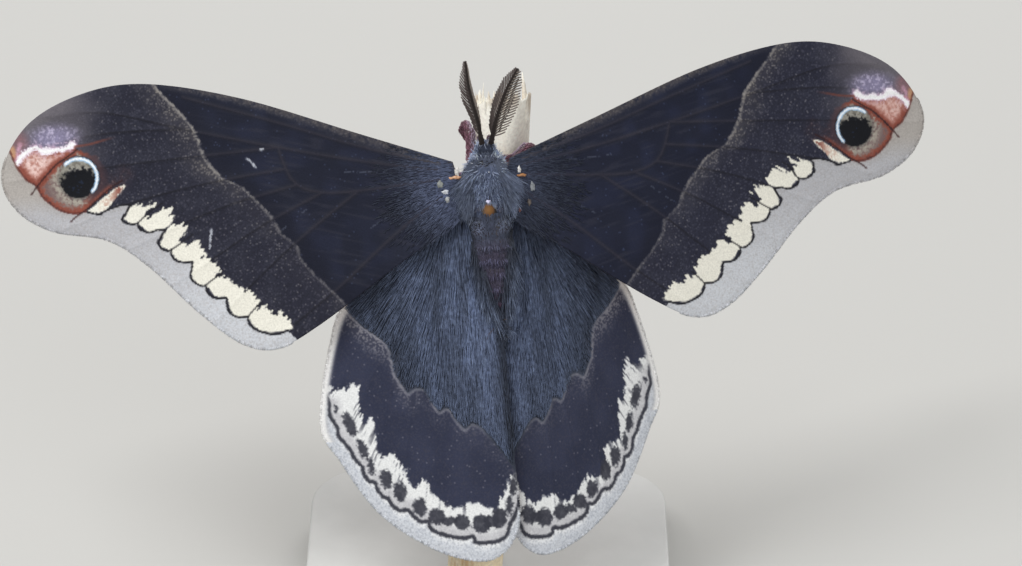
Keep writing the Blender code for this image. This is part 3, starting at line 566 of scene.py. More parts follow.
# %% The pale border and the cream spots
def paint_border(colours, p, side, fine, fuzz, wild, streaks):
    """The border, the scalloped black line, the cream spots inside it and the lines along two veins."""
    q = p + np.c_[np.interp(-p[:, 1], *BORDER_INSET), 0 * p[:, 0]] * (side > 0)
    border = depth(q, FORE_BORDER) + 0.06 * (fine - 0.5)
    edge = ease(border, -0.02, 0.04)
    cover(colours, "#B9B9BD", edge)
    cover(colours, "#D2D5DA", edge * ease(p[:, 1], -2, -12) * 0.85)
    cover(colours, "#B1AAA2", edge * ease(p[:, 1], -1.5, 1.5) * 0.8)
    cover(colours, "#A49C97", edge * (wild > 0.75) * 0.22)
    cover(colours, "#A59D98", edge * ease(distance(p, TIP_EDGE), 1.0, 0.1) * 0.3)
    scallop = np.min([distance(q, smooth_line(lobe, 0.2)) for lobe in SCALLOPS], axis=0)
    feather = 0.1 + 0.6 * ease(scallop, 0.3, 1.1)
    seam = np.min([distance(q, smooth_line(gap, 0.3)) for gap in SPOT_GAPS], axis=0)
    touching = 0.3 * ease(seam, 0.4, 0.1) * ease(scallop, 1.5, 0.7)
    drawn_back = 0.26 * ease(scallop, 0.7, 1.8)
    for spot in CREAM_SPOTS:
        ragged, back = (0.15, 0) if spot is CREAM_SPOTS[0] else (feather, drawn_back)
        inner = depth(q, smooth_line([*spot, spot[0]], 0.3)[:-1]) + 0.04 + touching - back
        inner = inner + ragged * (streaks - 0.56)
        cover(colours, "#F0EDE0", ease(inner, -0.07, 0.05))
    first = ease(depth(p, CREAM_SPOTS[0]) + 0.2 * (fine - 0.5), -0.05, 0.1)
    cover(colours, "#B98A78", first * ease(fuzz, 0.3, 0.8) * ease(p[:, 0], 35.4, 34.2) * 0.7)
    cover(colours, "#7E4034", first * ease(p[:, 0] + 0.5 * fuzz, 34.4, 33.1) * 0.8)
    cover(colours, "#1B1A20", ease(scallop + 0.04 * (fine - 0.5), 0.14, 0.045))
    for gap in SPOT_GAPS:
        cover(colours, "#1B1A20", ease(distance(q, smooth_line(gap, 0.3)), 0.11, 0.03) * 0.85)
    rim = distance(p, smooth_line(TIP_EDGE, 0.2)) + 0.06 * (fine - 0.5)
    cover(colours, "#5E2B24", ease(rim, 0.15, 0.04) * (0.6 + 0.4 * fuzz))
    for line in (EYE_VEIN, SPOT_VEIN):
        cover(colours, "#33191A", ease(distance(p, smooth_line(line, 0.2)), 0.12, 0.03) * 0.85)


# %% The forewing's colours
def forewing_colours(p, vein_distance, seed, side):
    """The upper side's colour at each flat point."""
    fine, coarse = blotches(p, 0.17, seed), blotches(p, 1.6, seed + 1)
    fuzz = 0.6 * fine + 0.4 * blotches(p, 0.45, seed + 2)
    wild = np.random.default_rng(seed).random(len(p))
    grain = blotches(p @ [[0.25, 0.97], [-0.97, 0.25]] / [1, 9], 0.22, seed + 3)
    outward = p[:, 0] - np.interp(-p[:, 1], [-v for _, v in FORE_BAND], [u for u, _ in FORE_BAND])
    outward = outward * 0.8 + 0.25 * (fuzz - 0.5)
    streaks = blotches(p @ [[0.82, 0.57], [-0.57, 0.82]] / [3.5, 1], 0.16, seed + 6)
    colours = plain("#1A1D2B", len(p))
    cover(colours, "#24283A", ease(coarse, 0.35, 0.9) * 0.6)
    cover(colours, "#34333B", ease(grain, 0.6, 0.95) * 0.5)
    cover(colours, "#2A2729", ease(vein_distance, 0.45, 0.05) * 0.35)
    cover(colours, "#151724", ease(outward, -2.2, -0.2) * 0.6)
    cover(colours, "#4A5268", (wild > 0.992) * 0.5)
    root = ease(p[:, 0], 9, 0)
    cover(colours, "#40434F", root * (0.35 + 0.4 * fuzz) * (1.2 if side < 0 else 0.8))
    beyond = ease(outward, -0.1, 0.2)
    cover(colours, "#292934", beyond)
    cover(colours, "#36363F", beyond * ease(coarse, 0.4, 0.8) * 0.5)
    cover(colours, "#1F1F28", beyond * (wild < 0.3) * 0.5)
    cover(colours, "#646166", beyond * (wild > 0.88) * 0.35)
    cover(colours, "#9C9488", beyond * (wild > 0.985) * 0.35)
    vein = ease(vein_distance, 0.15, 0.04)
    cover(colours, "#39343A", (1 - beyond) * vein * 0.5)
    cover(colours, "#17161C", beyond * vein * 0.6)
    colours *= (0.93, 0.95, 1.02) if side < 0 else (1.0, 1.03, 1.12)
    height = ease(p[:, 1], -7, 7)
    speckled = ease(outward, 2.8, 0.1) * (0.2 + 0.8 * height) * (0.45 + 0.55 * ease(coarse, 0.3, 0.7))
    cover(colours, "#67625F", beyond * speckled * (0.25 + 0.5 * fuzz))
    cover(colours, "#B4AB9C", beyond * speckled * (wild * 0.6 + fuzz * 0.4 > 0.68) * 0.45)
    line = ease(np.abs(outward - 0.12), 0.22, 0.05)
    cover(colours, "#9A9590", line * (0.25 + 0.55 * ease(fuzz, 0.25, 0.65)) * (0.55 + 0.45 * height))
    front = distance(p, smooth_line(FORE_OUTLINE[:7], 1.0))
    strip = ease(front, 1.5 - p[:, 0] * 0.03, 0.1) * ease(p[:, 0], 31, 23)
    cover(colours, "#4B4749", strip * ease(fuzz, 0.0, 0.6) * 0.9)
    cover(colours, "#77726F", strip * (wild > 0.8) * 0.4)
    paint_tip(colours, p, front, coarse, fine, fuzz)
    paint_eyespot(colours, p, fine, fuzz)
    paint_tip_patch(colours, p, seed, side, fine, fuzz)
    paint_border(colours, p, side, fine, fuzz, wild, streaks)
    if side < 0:
        for line in WORN:
            cover(colours, "#C9CDD6", ease(distance(p, line) + 0.15 * (fine - 0.5), 0.15, 0.03) * 0.85)
    for line in BARE_LINES:
        cover(colours, "#5A6070", ease(distance(p, line), 0.1, 0.02) * (fuzz > 0.45) * 0.6)
    return colours


FORE_UPPER = {side: forewing_colours(fore_flat, fore_vein_distance, 40 + side, side) for side in (-1, 1)}
print("forewing mean colour", FORE_UPPER[1].mean(0).round(2))

# %% [markdown]
# ## Markings of the hindwing
#
# Inside its wavy line the hindwing is slate and hairy. Outside it lies a dark band, then white patches
# with a ragged inner edge, a row of dark oval spots, a thin wavy line and a pale, finely peppered edge.
# Plain noise would make that inner edge lumpy, so its noise is drawn out along lines from the wing's
# root, as the scales lie. The ovals are turned ellipses, each measured by itself.

# %% Lines and spots of the hindwing, each line from the front edge to the body
HIND_BAND = [
    (12.6, -8.0), (12.3, -8.4), (10.8, -10.0), (9.8, -10.7), (8.9, -11.6), (8.5, -13.0), (8.3, -14.4),
    (7.6, -15.7), (7.1, -16.4), (6.3, -16.0), (5.5, -16.1), (5.0, -16.8), (4.6, -17.8), (4.1, -18.4),
    (3.6, -18.1), (3.1, -18.2), (2.7, -19.1), (2.1, -19.9), (1.7, -20.2), (1.1, -19.7), (0.5, -19.9),
    (-0.1, -20.5), (-1.0, -21.7), (-3.2, -25.0),
]
WHITE_EDGE = [
    (16.0, -14.6), (14.4, -15.5), (13.7, -15.7), (12.8, -15.7), (12.5, -15.1), (12.1, -15.4), (11.95, -16.6),
    (11.85, -18.5), (11.4, -19.0), (10.9, -18.4), (10.6, -18.9), (10.45, -20.5), (10.35, -22.2), (9.9, -22.3),
    (9.1, -22.0), (8.6, -22.6), (8.1, -23.2), (8.0, -24.3), (7.6, -25.3), (6.9, -25.4), (6.3, -24.9),
    (5.7, -25.0), (5.5, -25.7), (4.9, -26.3), (4.1, -27.1), (3.5, -27.6), (2.7, -27.4), (2.1, -27.1),
    (1.4, -27.4), (1.0, -27.1), (0.5, -27.6), (-0.1, -27.8), (-0.9, -27.5), (-1.4, -26.8), (-1.9, -25.9),
    (-2.1, -25.0), (-3.2, -24.0),
]
WHITE_FIELD = WHITE_EDGE + [(-6.0, -26.0), (-5.0, -36.0), (8.0, -36.0), (20.0, -26.0), (19.0, -14.6)]
HIND_LINE = [
    (16.2, -14.5), (15.0, -16.4), (14.9, -17.9), (14.3, -19.1), (14.15, -20.0), (13.5, -20.8), (13.1, -21.4),
    (12.7, -22.3), (12.1, -23.0), (11.95, -23.8), (11.4, -24.5), (10.9, -24.6), (10.7, -25.3), (10.2, -26.0),
    (9.7, -26.2),
    (9.4, -26.8), (8.7, -27.4), (7.9, -27.4), (7.3, -28.1), (6.6, -28.6), (6.0, -28.6), (5.7, -29.4),
    (4.4, -30.0), (2.8, -30.4), (1.7, -30.3), (1.55, -30.8), (0.6, -31.0), (-0.9, -30.8), (-1.6, -30.3),
    (-1.9, -29.4), (-2.4, -28.6), (-3.4, -26.5),
]
# Each oval: its middle, its half width, half length and the angle of its length from v in degrees.
HIND_OVALS = [
    (14.3, -17.4, 0.16, 0.3, 0), (13.0, -18.9, 0.46, 1.1, 20), (11.9, -21.3, 0.36, 0.9, 16),
    (11.15, -23.1, 0.30, 0.72, 4), (9.8, -24.4, 0.50, 0.85, 6), (8.5, -25.6, 0.54, 0.85, 8),
    (6.7, -27.2, 0.58, 0.75, 10), (5.1, -28.2, 0.68, 0.68, 30), (3.9, -28.7, 0.7, 0.38, 10),
    (2.7, -28.9, 0.66, 0.68, 0), (0.8, -29.15, 0.78, 0.78, 0), (-0.1, -29.0, 0.6, 0.5, 0),
    (-0.9, -28.7, 0.62, 0.85, -10), (-2.0, -27.6, 0.26, 0.85, -6), (-2.5, -25.8, 0.3, 0.8, -12),
]
OVAL_GROWTH = (1.2, 1.14)  # drawn a little larger, so that they look as large as in the photo


print(len(HIND_OVALS), "oval spots")


# %% The hindwing's spots and pale edge
def below(p, line):
    """How far a point lies past a line on the wing's outer side, measured along v."""
    u, v = np.array(line)[::-1].T
    return np.interp(p[:, 0], u, v) - p[:, 1]


def paint_white_patches(colours, p, side, line, ragged, fine, fuzz):
    """The white patches with their ragged inner edge, which lie further out on the right wing."""
    fold = 0.75 * (side > 0) * ease(np.abs(p[:, 0] - 7.0), 5.0, 2.5)
    white = depth(p, WHITE_FIELD) + 0.9 * (ragged - 0.42) + 0.3 * (fine - 0.5) - fold
    cover(colours, "#ECEDEC", ease(white, -0.08, 0.12))
    cover(colours, "#4C4D58", ease(white, 1.1, 0.1) * ease(white, -0.3, 0.1) * ease(ragged, 0.42, 0.3) * 0.75)
    cover(colours, "#BFBEC2", ease(white, 0.5, 1.3) * ease(line, 1.6, 0.6) * (0.5 + 0.5 * fuzz))


def paint_ovals(colours, p, fine, fuzz):
    """The row of dark ovals, each measured in its own turned frame."""
    for u, v, wide, long, tilt in HIND_OVALS:
        c, s = math.cos(math.radians(tilt)), math.sin(math.radians(tilt))
        q = (p - (u, v)) @ [[c, s], [-s, c]] / np.multiply((wide, long), OVAL_GROWTH)
        spot = (1 - np.hypot(*q.T)) * min(wide, long) + 0.26 * (fine - 0.5)
        cover(colours, "#363741", ease(spot, -0.08, 0.1) * (0.82 + 0.18 * fuzz))


def paint_pale_edge(colours, p, line, fine, fuzz, wild):
    """The peppered pale edge, the thin wavy line inside it, and the light strip along the front."""
    margin = distance(p, np.vstack([hind_rim, hind_rim[:1]]))
    border = below(p, HIND_LINE) * (p[:, 0] > -3.4)
    cover(colours, "#EDEEEF", ease(border, -0.05, 0.05))
    cover(colours, "#CDD1D8", ease(border, 0.25, 1.0) * (0.65 + 0.35 * fuzz))
    cover(colours, "#989DA8", (border > 0.25) * (wild > 0.7) * 0.35)
    cover(colours, "#34353F", ease(line + 0.14 * (fine - 0.5), 0.29, 0.1) * 0.95)
    front = (p[:, 1] < -7.4) & (p[:, 1] > -20.5) & (p[:, 0] > 11.5)
    cover(colours, "#9A9A9E", front * ease(margin, 0.95, 0.45) * 0.55)
    cover(colours, "#F1F0EE", front * ease(margin, 0.8 + 0.25 * ease(p[:, 1], -12, -8), 0.3))


# %% The hindwing's colours
def hindwing_colours(p, seed, side):
    """The upper side's colour at each flat point."""
    fine, coarse = blotches(p, 0.17, seed), blotches(p, 1.8, seed + 1)
    fuzz = 0.6 * fine + 0.4 * blotches(p, 0.45, seed + 2)
    from_root = p - (2.0, -4.0)
    fanned = np.degrees(np.arctan2(from_root[:, 0], -from_root[:, 1]))
    spread = np.c_[fanned * 0.42, np.hypot(*from_root.T) / 7]
    ragged = 0.55 * blotches(spread, 0.2, seed + 4) + 0.45 * blotches(spread, 0.55, seed + 5)
    wild = np.random.default_rng(seed).random(len(p))
    past_band = below(p, HIND_BAND) + 0.2 * (fuzz - 0.5)
    band_line = distance(p, smooth_line(HIND_BAND, 0.3))
    outer_band = ease(past_band, -0.05, 0.1)
    colours = plain("#3A3F4D", len(p))
    cover(colours, "#4A5062", ease(coarse, 0.3, 0.9) * 0.6)
    cover(colours, "#2E3246", outer_band)
    cover(colours, "#393D53", outer_band * ease(coarse, 0.3, 0.8) * 0.5)
    cover(colours, "#43424F", outer_band * (wild > 0.8) * 0.4)
    cover(colours, "#7C7C88", outer_band * (wild > 0.992) * 0.6)
    outer = ease(p[:, 0], 4.0, 11.5)
    speckled = outer_band * ease(past_band, 3.0, 0.1) * (0.2 + 0.8 * outer)
    cover(colours, "#575661", speckled * (0.3 + 0.5 * fuzz))
    cover(colours, "#ACAAAE", speckled * (wild * 0.5 + fuzz * 0.5 > 0.58) * 0.55)
    line_weight = ease(band_line, 0.22, 0.05) * (0.5 + 0.5 * fuzz) * ease(p[:, 0], -1.5, 1.5)
    cover(colours, "#8A8992", line_weight * (0.75 + 0.25 * outer))
    line = distance(p, smooth_line(HIND_LINE, 0.25))
    paint_white_patches(colours, p, side, line, ragged, fine, fuzz)
    paint_ovals(colours, p, fine, fuzz)
    paint_pale_edge(colours, p, line, fine, fuzz, wild)
    return colours


HIND_UPPER = {side: hindwing_colours(hind_flat, 60 + side, side) for side in (-1, 1)}
print("hindwing mean colour", HIND_UPPER[1].mean(0).round(2))

# %% [markdown]
# ## The underside
#
# The photo doesn't show it. On the living moth it is wine-brown towards the body and pinkish brown
# outside, with the same eyespot, spots and lines paler and softer, so the upper side's markings are
# laid over that ground.


# %% Colours of the undersides
def underside(upper, ground, outward):
    """The upper side's pale markings over the underside's brown ground."""
    colours = plain("#5A3630", len(upper))
    cover(colours, "#8A6A60", outward)
    cover(colours, "#3F2724", (ground < 0.2) * 0.5)
    cover(colours, "#B49C8C", (ground > 0.85) * 0.5)
    light = upper.mean(1)
    weight = ease(light, 0.3, 0.6)[:, None] * 0.6
    return colours * (1 - weight) + upper * weight


def outside_band(p, band, along):
    """1 past the pale line and 0 inside it. Along is the way across the line: 0 for u and 1 for v."""
    other = 1 - along
    order = np.argsort([q[other] for q in band])
    reach = np.interp(p[:, other], np.array(band)[order, other], np.array(band)[order, along])
    return ease(p[:, along] - reach, 0, 0.4) if along == 0 else ease(reach - p[:, along], 0, 0.4)


FORE_UNDER = underside(FORE_UPPER[1], draw.random(len(fore_flat)), outside_band(fore_flat, FORE_BAND, 0))
HIND_UNDER = underside(HIND_UPPER[1], draw.random(len(hind_flat)), outside_band(hind_flat, HIND_BAND, 1))
print("underside mean colour", FORE_UNDER.mean(0).round(2))

# %% [markdown]
# ## Wing scales as a material
#
# Scales are dry, flat plates of chitin, laid in rows like roof tiles. They scatter light, so the finish
# is matt with a faint sheen at low angles. A real scale is 0.05 to 0.1 mm wide, finer than a pixel here,
# so the bump is drawn about twice as coarse. One noise varies colour and bumps together, because a scale
# that stands up does both. A wider noise varies the roughness in patches.

# %% A surface's colour, roughness and bumps from one noise
def painted(tree, shader, noise, darker, lighter):
    """Feeds the mesh's own colours to the shader, varied by a noise between two strengths."""
    colour = node(tree, "Attribute", {"attribute_name": "scales"}).outputs["Color"]
    strengths = {"From Min": 0.3, "From Max": 0.7, "To Min": darker, "To Max": lighter}
    gain = node(tree, "MapRange", strengths, Value=noise)
    lit = node(tree, "VectorMath", {"operation": "SCALE"}, Vector=colour, Scale=gain.outputs["Result"])
    tree.links.new(lit.outputs["Vector"], shader.inputs["Base Color"])


def uneven(tree, shader, noise, roughness, strength, rise, patches=None):
    """A roughness between two values and bumps that rise so many millimetres, both from a noise.

    The roughness follows a second, wider noise where patches gives one.
    """
    spread = dict(zip(("To Min", "To Max"), roughness))
    rough = node(tree, "MapRange", spread, Value=noise if patches is None else patches)
    tree.links.new(rough.outputs["Result"], shader.inputs["Roughness"])
    bump = node(tree, "Bump", {"Strength": strength, "Distance": rise * MM}, Height=noise)
    tree.links.new(bump.outputs["Normal"], shader.inputs["Normal"])


# %% The scale finish
SCALE_WIDTH = 0.16
SCALE_PATCH = 2.8


def scale_finish():
    """Dry scales: matt, with a faint sheen. A patch of them lies flatter here and there."""
    made, tree, shader = material(
        "moth_wing_scales", Roughness=0.78, Sheen_Weight=0.03, Sheen_Roughness=0.4, IOR=1.5,
        Specular_IOR_Level=0.25,
    )
    where = node(tree, "TexCoord").outputs["Object"]
    scales = node(tree, "TexNoise", {"Scale": per(SCALE_WIDTH), "Detail": 2.0}, Vector=where).outputs["Fac"]
    patches = node(tree, "TexNoise", {"Scale": per(SCALE_PATCH), "Detail": 2.0}, Vector=where).outputs["Fac"]
    painted(tree, shader, scales, 0.9, 1.1)
    uneven(tree, shader, scales, (0.65, 0.88), 0.55, 0.05, patches)
    return made


wing_finish = scale_finish()
print("finish:", wing_finish.name)


# %% The four wings
PLAN_SIZE = 55.0
PLAN_EDGE = 0.01


def area_sign(flat, faces):
    """Which way triangles, or a closed line, run round on the flat plan."""
    if faces is None:
        x, y = flat.T
        return np.sign((x * np.roll(y, -1) - y * np.roll(x, -1)).sum())
    a, b, c = flat[faces[:, 0]], flat[faces[:, 1]], flat[faces[:, 2]]
    return np.sign(np.cross(b - a, c - a).sum())


def wing_piece(name, flat, faces, rim_count, vein_distance, hang, upper, under):
    """A closed shell: upper sheet, lower sheet and the rim between them."""
    length = float(flat[:, 0].max())
    here, _, _, out = wing_ways(flat, hang, length, vein_distance)
    rim = np.arange(rim_count)
    ahead = np.roll(rim, -1)
    edge = ease(distance(flat, np.vstack([flat[:rim_count], flat[:1]])), 0, 0.6)
    vein = ease(vein_distance, VEIN_REACH, 0)
    thick = (MEMBRANE + (VEIN_THICKNESS - MEMBRANE) * vein) * (0.35 + 0.65 * edge)
    ridge = VEIN_THICKNESS * 0.12 * vein
    top = here + out * (thick / 2 + ridge)[:, None]
    low = here - out * (thick / 2 + ridge)[:, None]
    count = len(flat)
    sheet = faces if hang["side"] > 0 else faces[:, ::-1]
    walls = np.vstack([np.c_[rim, rim + count, ahead + count], np.c_[rim, ahead + count, ahead]])
    walls = walls if hang["side"] > 0 else walls[:, ::-1]
    turned = area_sign(flat, faces) * area_sign(flat[:rim_count], None)
    walls = walls if turned > 0 else walls[:, ::-1]
    plan = (flat - flat.min(0)) / PLAN_SIZE + PLAN_EDGE
    piece(
        name, np.vstack([top, low]), np.vstack([sheet, sheet[:, ::-1] + count, walls]), wing_finish,
        np.vstack([upper, under]), np.vstack([plan, plan + [0, 0.5]]), (name,),
    )


for word, hang in (("left", FORE_LEFT), ("right", FORE_RIGHT)):
    wing_piece(f"forewing_{word}", fore_flat, fore_faces, len(fore_rim), fore_vein_distance, hang,
               FORE_UPPER[hang["side"]], FORE_UNDER)
for word, hang in (("left", HIND_LEFT), ("right", HIND_RIGHT)):
    wing_piece(f"hindwing_{word}", hind_flat, hind_faces, len(hind_rim), hind_vein_distance, hang,
               HIND_UPPER[hang["side"]], HIND_UNDER)

# %% [markdown]
# ## Hair in tufts
#
# The body and the roots of the wings are furry. Single hairs would be finer than a pixel and far too
# many, so they are made in tufts: thin, three-sided, tapered blades that overlap like thatch. Each one
# follows a short line of four points and is darker at its root than at its tip.

# %% Tufts along short lines
TUFT_SHARES = np.array([0.0, 0.4, 0.75, 1.0])
TUFT_WIDTHS = np.array([0.75, 1.0, 0.62])
TUFT_HEIGHT = 0.42
PATCH = 0.003  # how much of the plan each tuft takes up


def tuft_faces():
    """The triangles of one tuft: three rings of three points, then its tip."""
    found = [(0, 1, 2)]
    for ring in (0, 3):
        for k in range(3):
            a, b = ring + k, ring + (k + 1) % 3
            found += [(a, a + 3, b + 3), (a, b + 3, b)]
    return np.array(found + [(6 + k, 9, 6 + (k + 1) % 3) for k in range(3)])


def tufts(name, lines, out, width, root_colours, tip_colours, plan, finish):
    """A mesh of tufts. Lines holds four points for each, and out is the way that its ridge faces."""
    count = len(lines)
    across = unit(np.cross(lines[:, 1] - lines[:, 0], out))
    points = np.empty((count, 10, 3))
    share = np.repeat(TUFT_SHARES, [3, 3, 3, 1])
    for ring, scale in enumerate(TUFT_WIDTHS):
        half = across * (width * scale / 2)[:, None]
        points[:, 3 * ring] = lines[:, ring] - half
        points[:, 3 * ring + 1] = lines[:, ring] + half
        points[:, 3 * ring + 2] = lines[:, ring] + out * (width * scale * TUFT_HEIGHT)[:, None]
    points[:, 9] = lines[:, 3]
    blend = share[None, :, None] ** 1.3
    colours = root_colours[:, None] * (1 - blend) + tip_colours[:, None] * blend
    side = np.array([0, 1, 0.5] * 3 + [0.5])
    patch = plan[:, None] + np.stack([side, share], 1)[None] * PATCH
    faces = tuft_faces()[None] + 10 * np.arange(count)[:, None, None]
    piece(name, points.reshape(-1, 3), faces.reshape(-1, 3), finish, colours.reshape(-1, 3),
          patch.reshape(-1, 2))


def hair_lines(roots, lie, out, length, lift, bend, sway, sunk=0.12):
    """Lines that start under the skin, lie along it and bend back to it."""
    lie = unit(lie - out * (lie * out).sum(1, keepdims=True))
    across = np.cross(lie, out)
    t = TUFT_SHARES[None, :, None]
    length, lift, bend, sway = (np.asarray(a, float).reshape(-1, 1, 1) for a in (length, lift, bend, sway))
    rise = lift * t - bend * t * t
    path = lie[:, None] * t + out[:, None] * rise + across[:, None] * sway * t * t
    lines = roots[:, None] + length * path
    lines[:, 0] -= out * sunk
    return lines


def thinned(count):
    return count


HAIR_STREAK = 0.35


def hair_finish(name, sheen):
    """Hair of chitin: satin, with a faint sheen and streaks that break it up into strands."""
    made, tree, shader = material(
        name, Roughness=0.62, Sheen_Weight=sheen, Sheen_Roughness=0.35, Specular_IOR_Level=0.22
    )
    where = node(tree, "TexCoord").outputs["Object"]
    streaks = node(tree, "TexNoise", {"Scale": per(HAIR_STREAK), "Detail": 3.0}, Vector=where).outputs["Fac"]
    painted(tree, shader, streaks, 0.75, 1.25)
    uneven(tree, shader, streaks, (0.5, 0.8), 0.4, 0.04)
    return made


fur_finish = hair_finish("moth_body_hair", 0.03)
wing_hair_finish = hair_finish("moth_wing_hair", 0.02)
print("one tuft has", len(tuft_faces()), "triangles")

# %% [markdown]
# ## The body under its coat
#
# Head, thorax and abdomen are one skin here, so that no seam shows between them: rings of points from
# the tail to the head, with a groove between the abdomen's segments. The skin stays inside the solids by
# the depth of the coat. A bare brown spot of shell shows in the middle of the thorax, near its rear.

# %% The skin of head, thorax and abdomen
BODY = [  # y, middle x, middle z, half width and half height
    (-13.45, 0.15, -0.30, 0.05, 0.05), (-13.2, 0.15, -0.30, 0.55, 0.45), (-12.3, 0.15, -0.30, 1.2, 1.0),
    (-10.5, 0.15, -0.30, 1.75, 1.5), (-8.5, 0.15, -0.30, 2.0, 1.7), (-6.5, 0.12, -0.25, 2.05, 1.75),
    (-4.8, 0.08, -0.15, 1.95, 1.75), (-3.6, 0.04, -0.05, 2.1, 2.0), (-2.2, 0.0, 0.0, 2.4, 2.35),
    (-0.5, 0.0, 0.0, 2.55, 2.5), (1.0, 0.02, 0.0, 2.25, 2.2), (2.0, 0.05, -0.1, 1.55, 1.6),
    (2.6, 0.05, -0.25, 0.95, 1.15), (3.1, 0.05, -0.3, 0.85, 1.1), (3.6, 0.05, -0.3, 0.68, 0.88),
    (3.95, 0.05, -0.3, 0.3, 0.4), (4.02, 0.05, -0.3, 0.04, 0.05),
]
SKIN_SIDES = 64
TAIL = -13.4  # where the abdomen's segments are counted from
SEGMENT_LENGTH = 1.35
GROOVE = 0.05
BARE_SPOT = (-0.02, -2.66)
BARE_RADIUS = 0.7
PIT_WIDTH = 0.12
SKIN_PLAN_START, SKIN_PLAN_REACH = -13.6, 18.0  # the stretch of y that fills the plan
stations = smooth_line(BODY, 0.14)


def on_skin(y, angle):
    """A place on the skin, at y and an angle round from the middle of the back."""
    x, z, wide, high = (np.interp(y, stations[:, 0], stations[:, k]) for k in (1, 2, 3, 4))
    rear = ease(y, -4.2, -5.2)
    groove = 1 - GROOVE * rear * np.abs(np.cos(np.pi * (y - TAIL) / SEGMENT_LENGTH)) ** 6
    return np.stack([x + wide * groove * np.sin(angle), y, z + high * groove * np.cos(angle)], -1)


def skin_ways(y, angle):
    """Places on the skin, with the ways straight out of it."""
    step = 0.02
    ahead = on_skin(y + step, angle) - on_skin(y - step, angle)
    round_ = on_skin(y, angle + step) - on_skin(y, angle - step)
    return on_skin(y, angle), unit(np.cross(round_, -ahead))


def skin_plan(y, angle):
    """Places on the plan of the skin: round it across, and along it up."""
    across, up = (angle / (2 * np.pi) + 0.5) % 1, (y - SKIN_PLAN_START) / SKIN_PLAN_REACH
    return np.c_[across, up] * 0.98 + 0.005  # a little in from the plan's edges


ring_y = stations[:, 0]
ring_angle = np.linspace(-np.pi, np.pi, SKIN_SIDES + 1)
grid_y, grid_angle = (a.ravel() for a in np.meshgrid(ring_y, ring_angle, indexing="ij"))
skin_points = on_skin(grid_y, grid_angle)
row = SKIN_SIDES + 1
skin_faces = [
    (i * row + k, (i + 1) * row + k, (i + 1) * row + k + 1, i * row + k + 1)
    for i in range(len(ring_y) - 1) for k in range(SKIN_SIDES)
]
to_spot = np.hypot(skin_points[:, 0] - BARE_SPOT[0], grid_y - BARE_SPOT[1])
to_spot = np.where(skin_points[:, 2] > 0, to_spot, 9)
skin_colours = plain("#26272F", len(skin_points))
cover(skin_colours, "#332C38", ease(grid_y, -3.6, -5.0))
cover(skin_colours, "#434959", ease(grid_y, 2.2, 2.8))
cover(skin_colours, "#33261D", ease(to_spot, 1.0, 0.7))
cover(skin_colours, "#A06C33", ease(to_spot, 0.74, 0.5))
cover(skin_colours, "#BC8748", ease(to_spot, 0.45, 0.05))
dome = 0.16 * ease(to_spot, 0.8, 0.0) + 0.34 * ease(to_spot, 1.0, 0.6)
skin_points = skin_points + skin_ways(grid_y, grid_angle)[1] * dome[:, None]
print("skin points:", len(skin_points))


# %% Bare shell, and the skin made of it
def shell_finish():
    """Insect shell, chitin: hard, smooth and a little glossy where the hair has worn off."""
    made, tree, shader = material("moth_shell", Roughness=0.35, IOR=1.56)
    where = node(tree, "TexCoord").outputs["Object"]
    colour = node(tree, "Attribute", {"attribute_name": "scales"}).outputs["Color"]
    tree.links.new(colour, shader.inputs["Base Color"])
    pits = node(tree, "TexNoise", {"Scale": per(PIT_WIDTH), "Detail": 3.0}, Vector=where).outputs["Fac"]
    uneven(tree, shader, pits, (0.2, 0.55), 0.3, 0.03)
    return made


shell = shell_finish()
plan_angle = np.clip(grid_angle, -3.14, 3.14)  # at pi, the last column would jump back to the first
piece("body_skin", skin_points, skin_faces, shell, skin_colours, skin_plan(grid_y, plan_angle),
      ("thorax", "head", "abdomen"))

# %% [markdown]
# ## The body's coat
#
# The thorax carries slate hair about 1.5 mm long that lies back from the head, with a longer tuft over
# each forewing's root. The abdomen's hair is shorter and maroon. The head has the shortest hair, blue-grey
# beside the antennae. Combing each part by hand would take long, so the tufts start at random places,
# lie by a rule for each part, and on the thorax a slow noise turns neighbours the same way, into clumps.

# %% Tufts spread over the skin, and their tints
# Painted light: the blue cast that slate hair shows in its sheen and its shade, laid into every tuft's
# colour.
PAINTED_HAIR_BLUE = (1.0, 1.02, 1.04)  # slate hair throws back a little more blue than its pigment has


def scatter(count, low, high, widest=np.pi):
    """Places spread evenly over a stretch of the skin: y and angle."""
    y = draw.uniform(low, high, count * 3)
    angle = draw.uniform(-widest, widest, count * 3)
    girth = np.interp(y, stations[:, 0], stations[:, 3])
    kept = draw.random(count * 3) < girth / girth.max()
    return y[kept][:count], angle[kept][:count]


def tinted(count, dark, light, spread=0.5):
    """A colour for each tuft, between two, with the painted blue of the hair's sheen and shade."""
    share = np.clip(draw.normal(0.5, spread / 2, count), 0, 1)[:, None]
    return np.minimum((srgb(dark) * (1 - share) + srgb(light) * share) * PAINTED_HAIR_BLUE, 1)


# %% The coat of thorax and shoulders
THORAX_TUFTS, SHOULDER_TUFTS = 9500, 1700


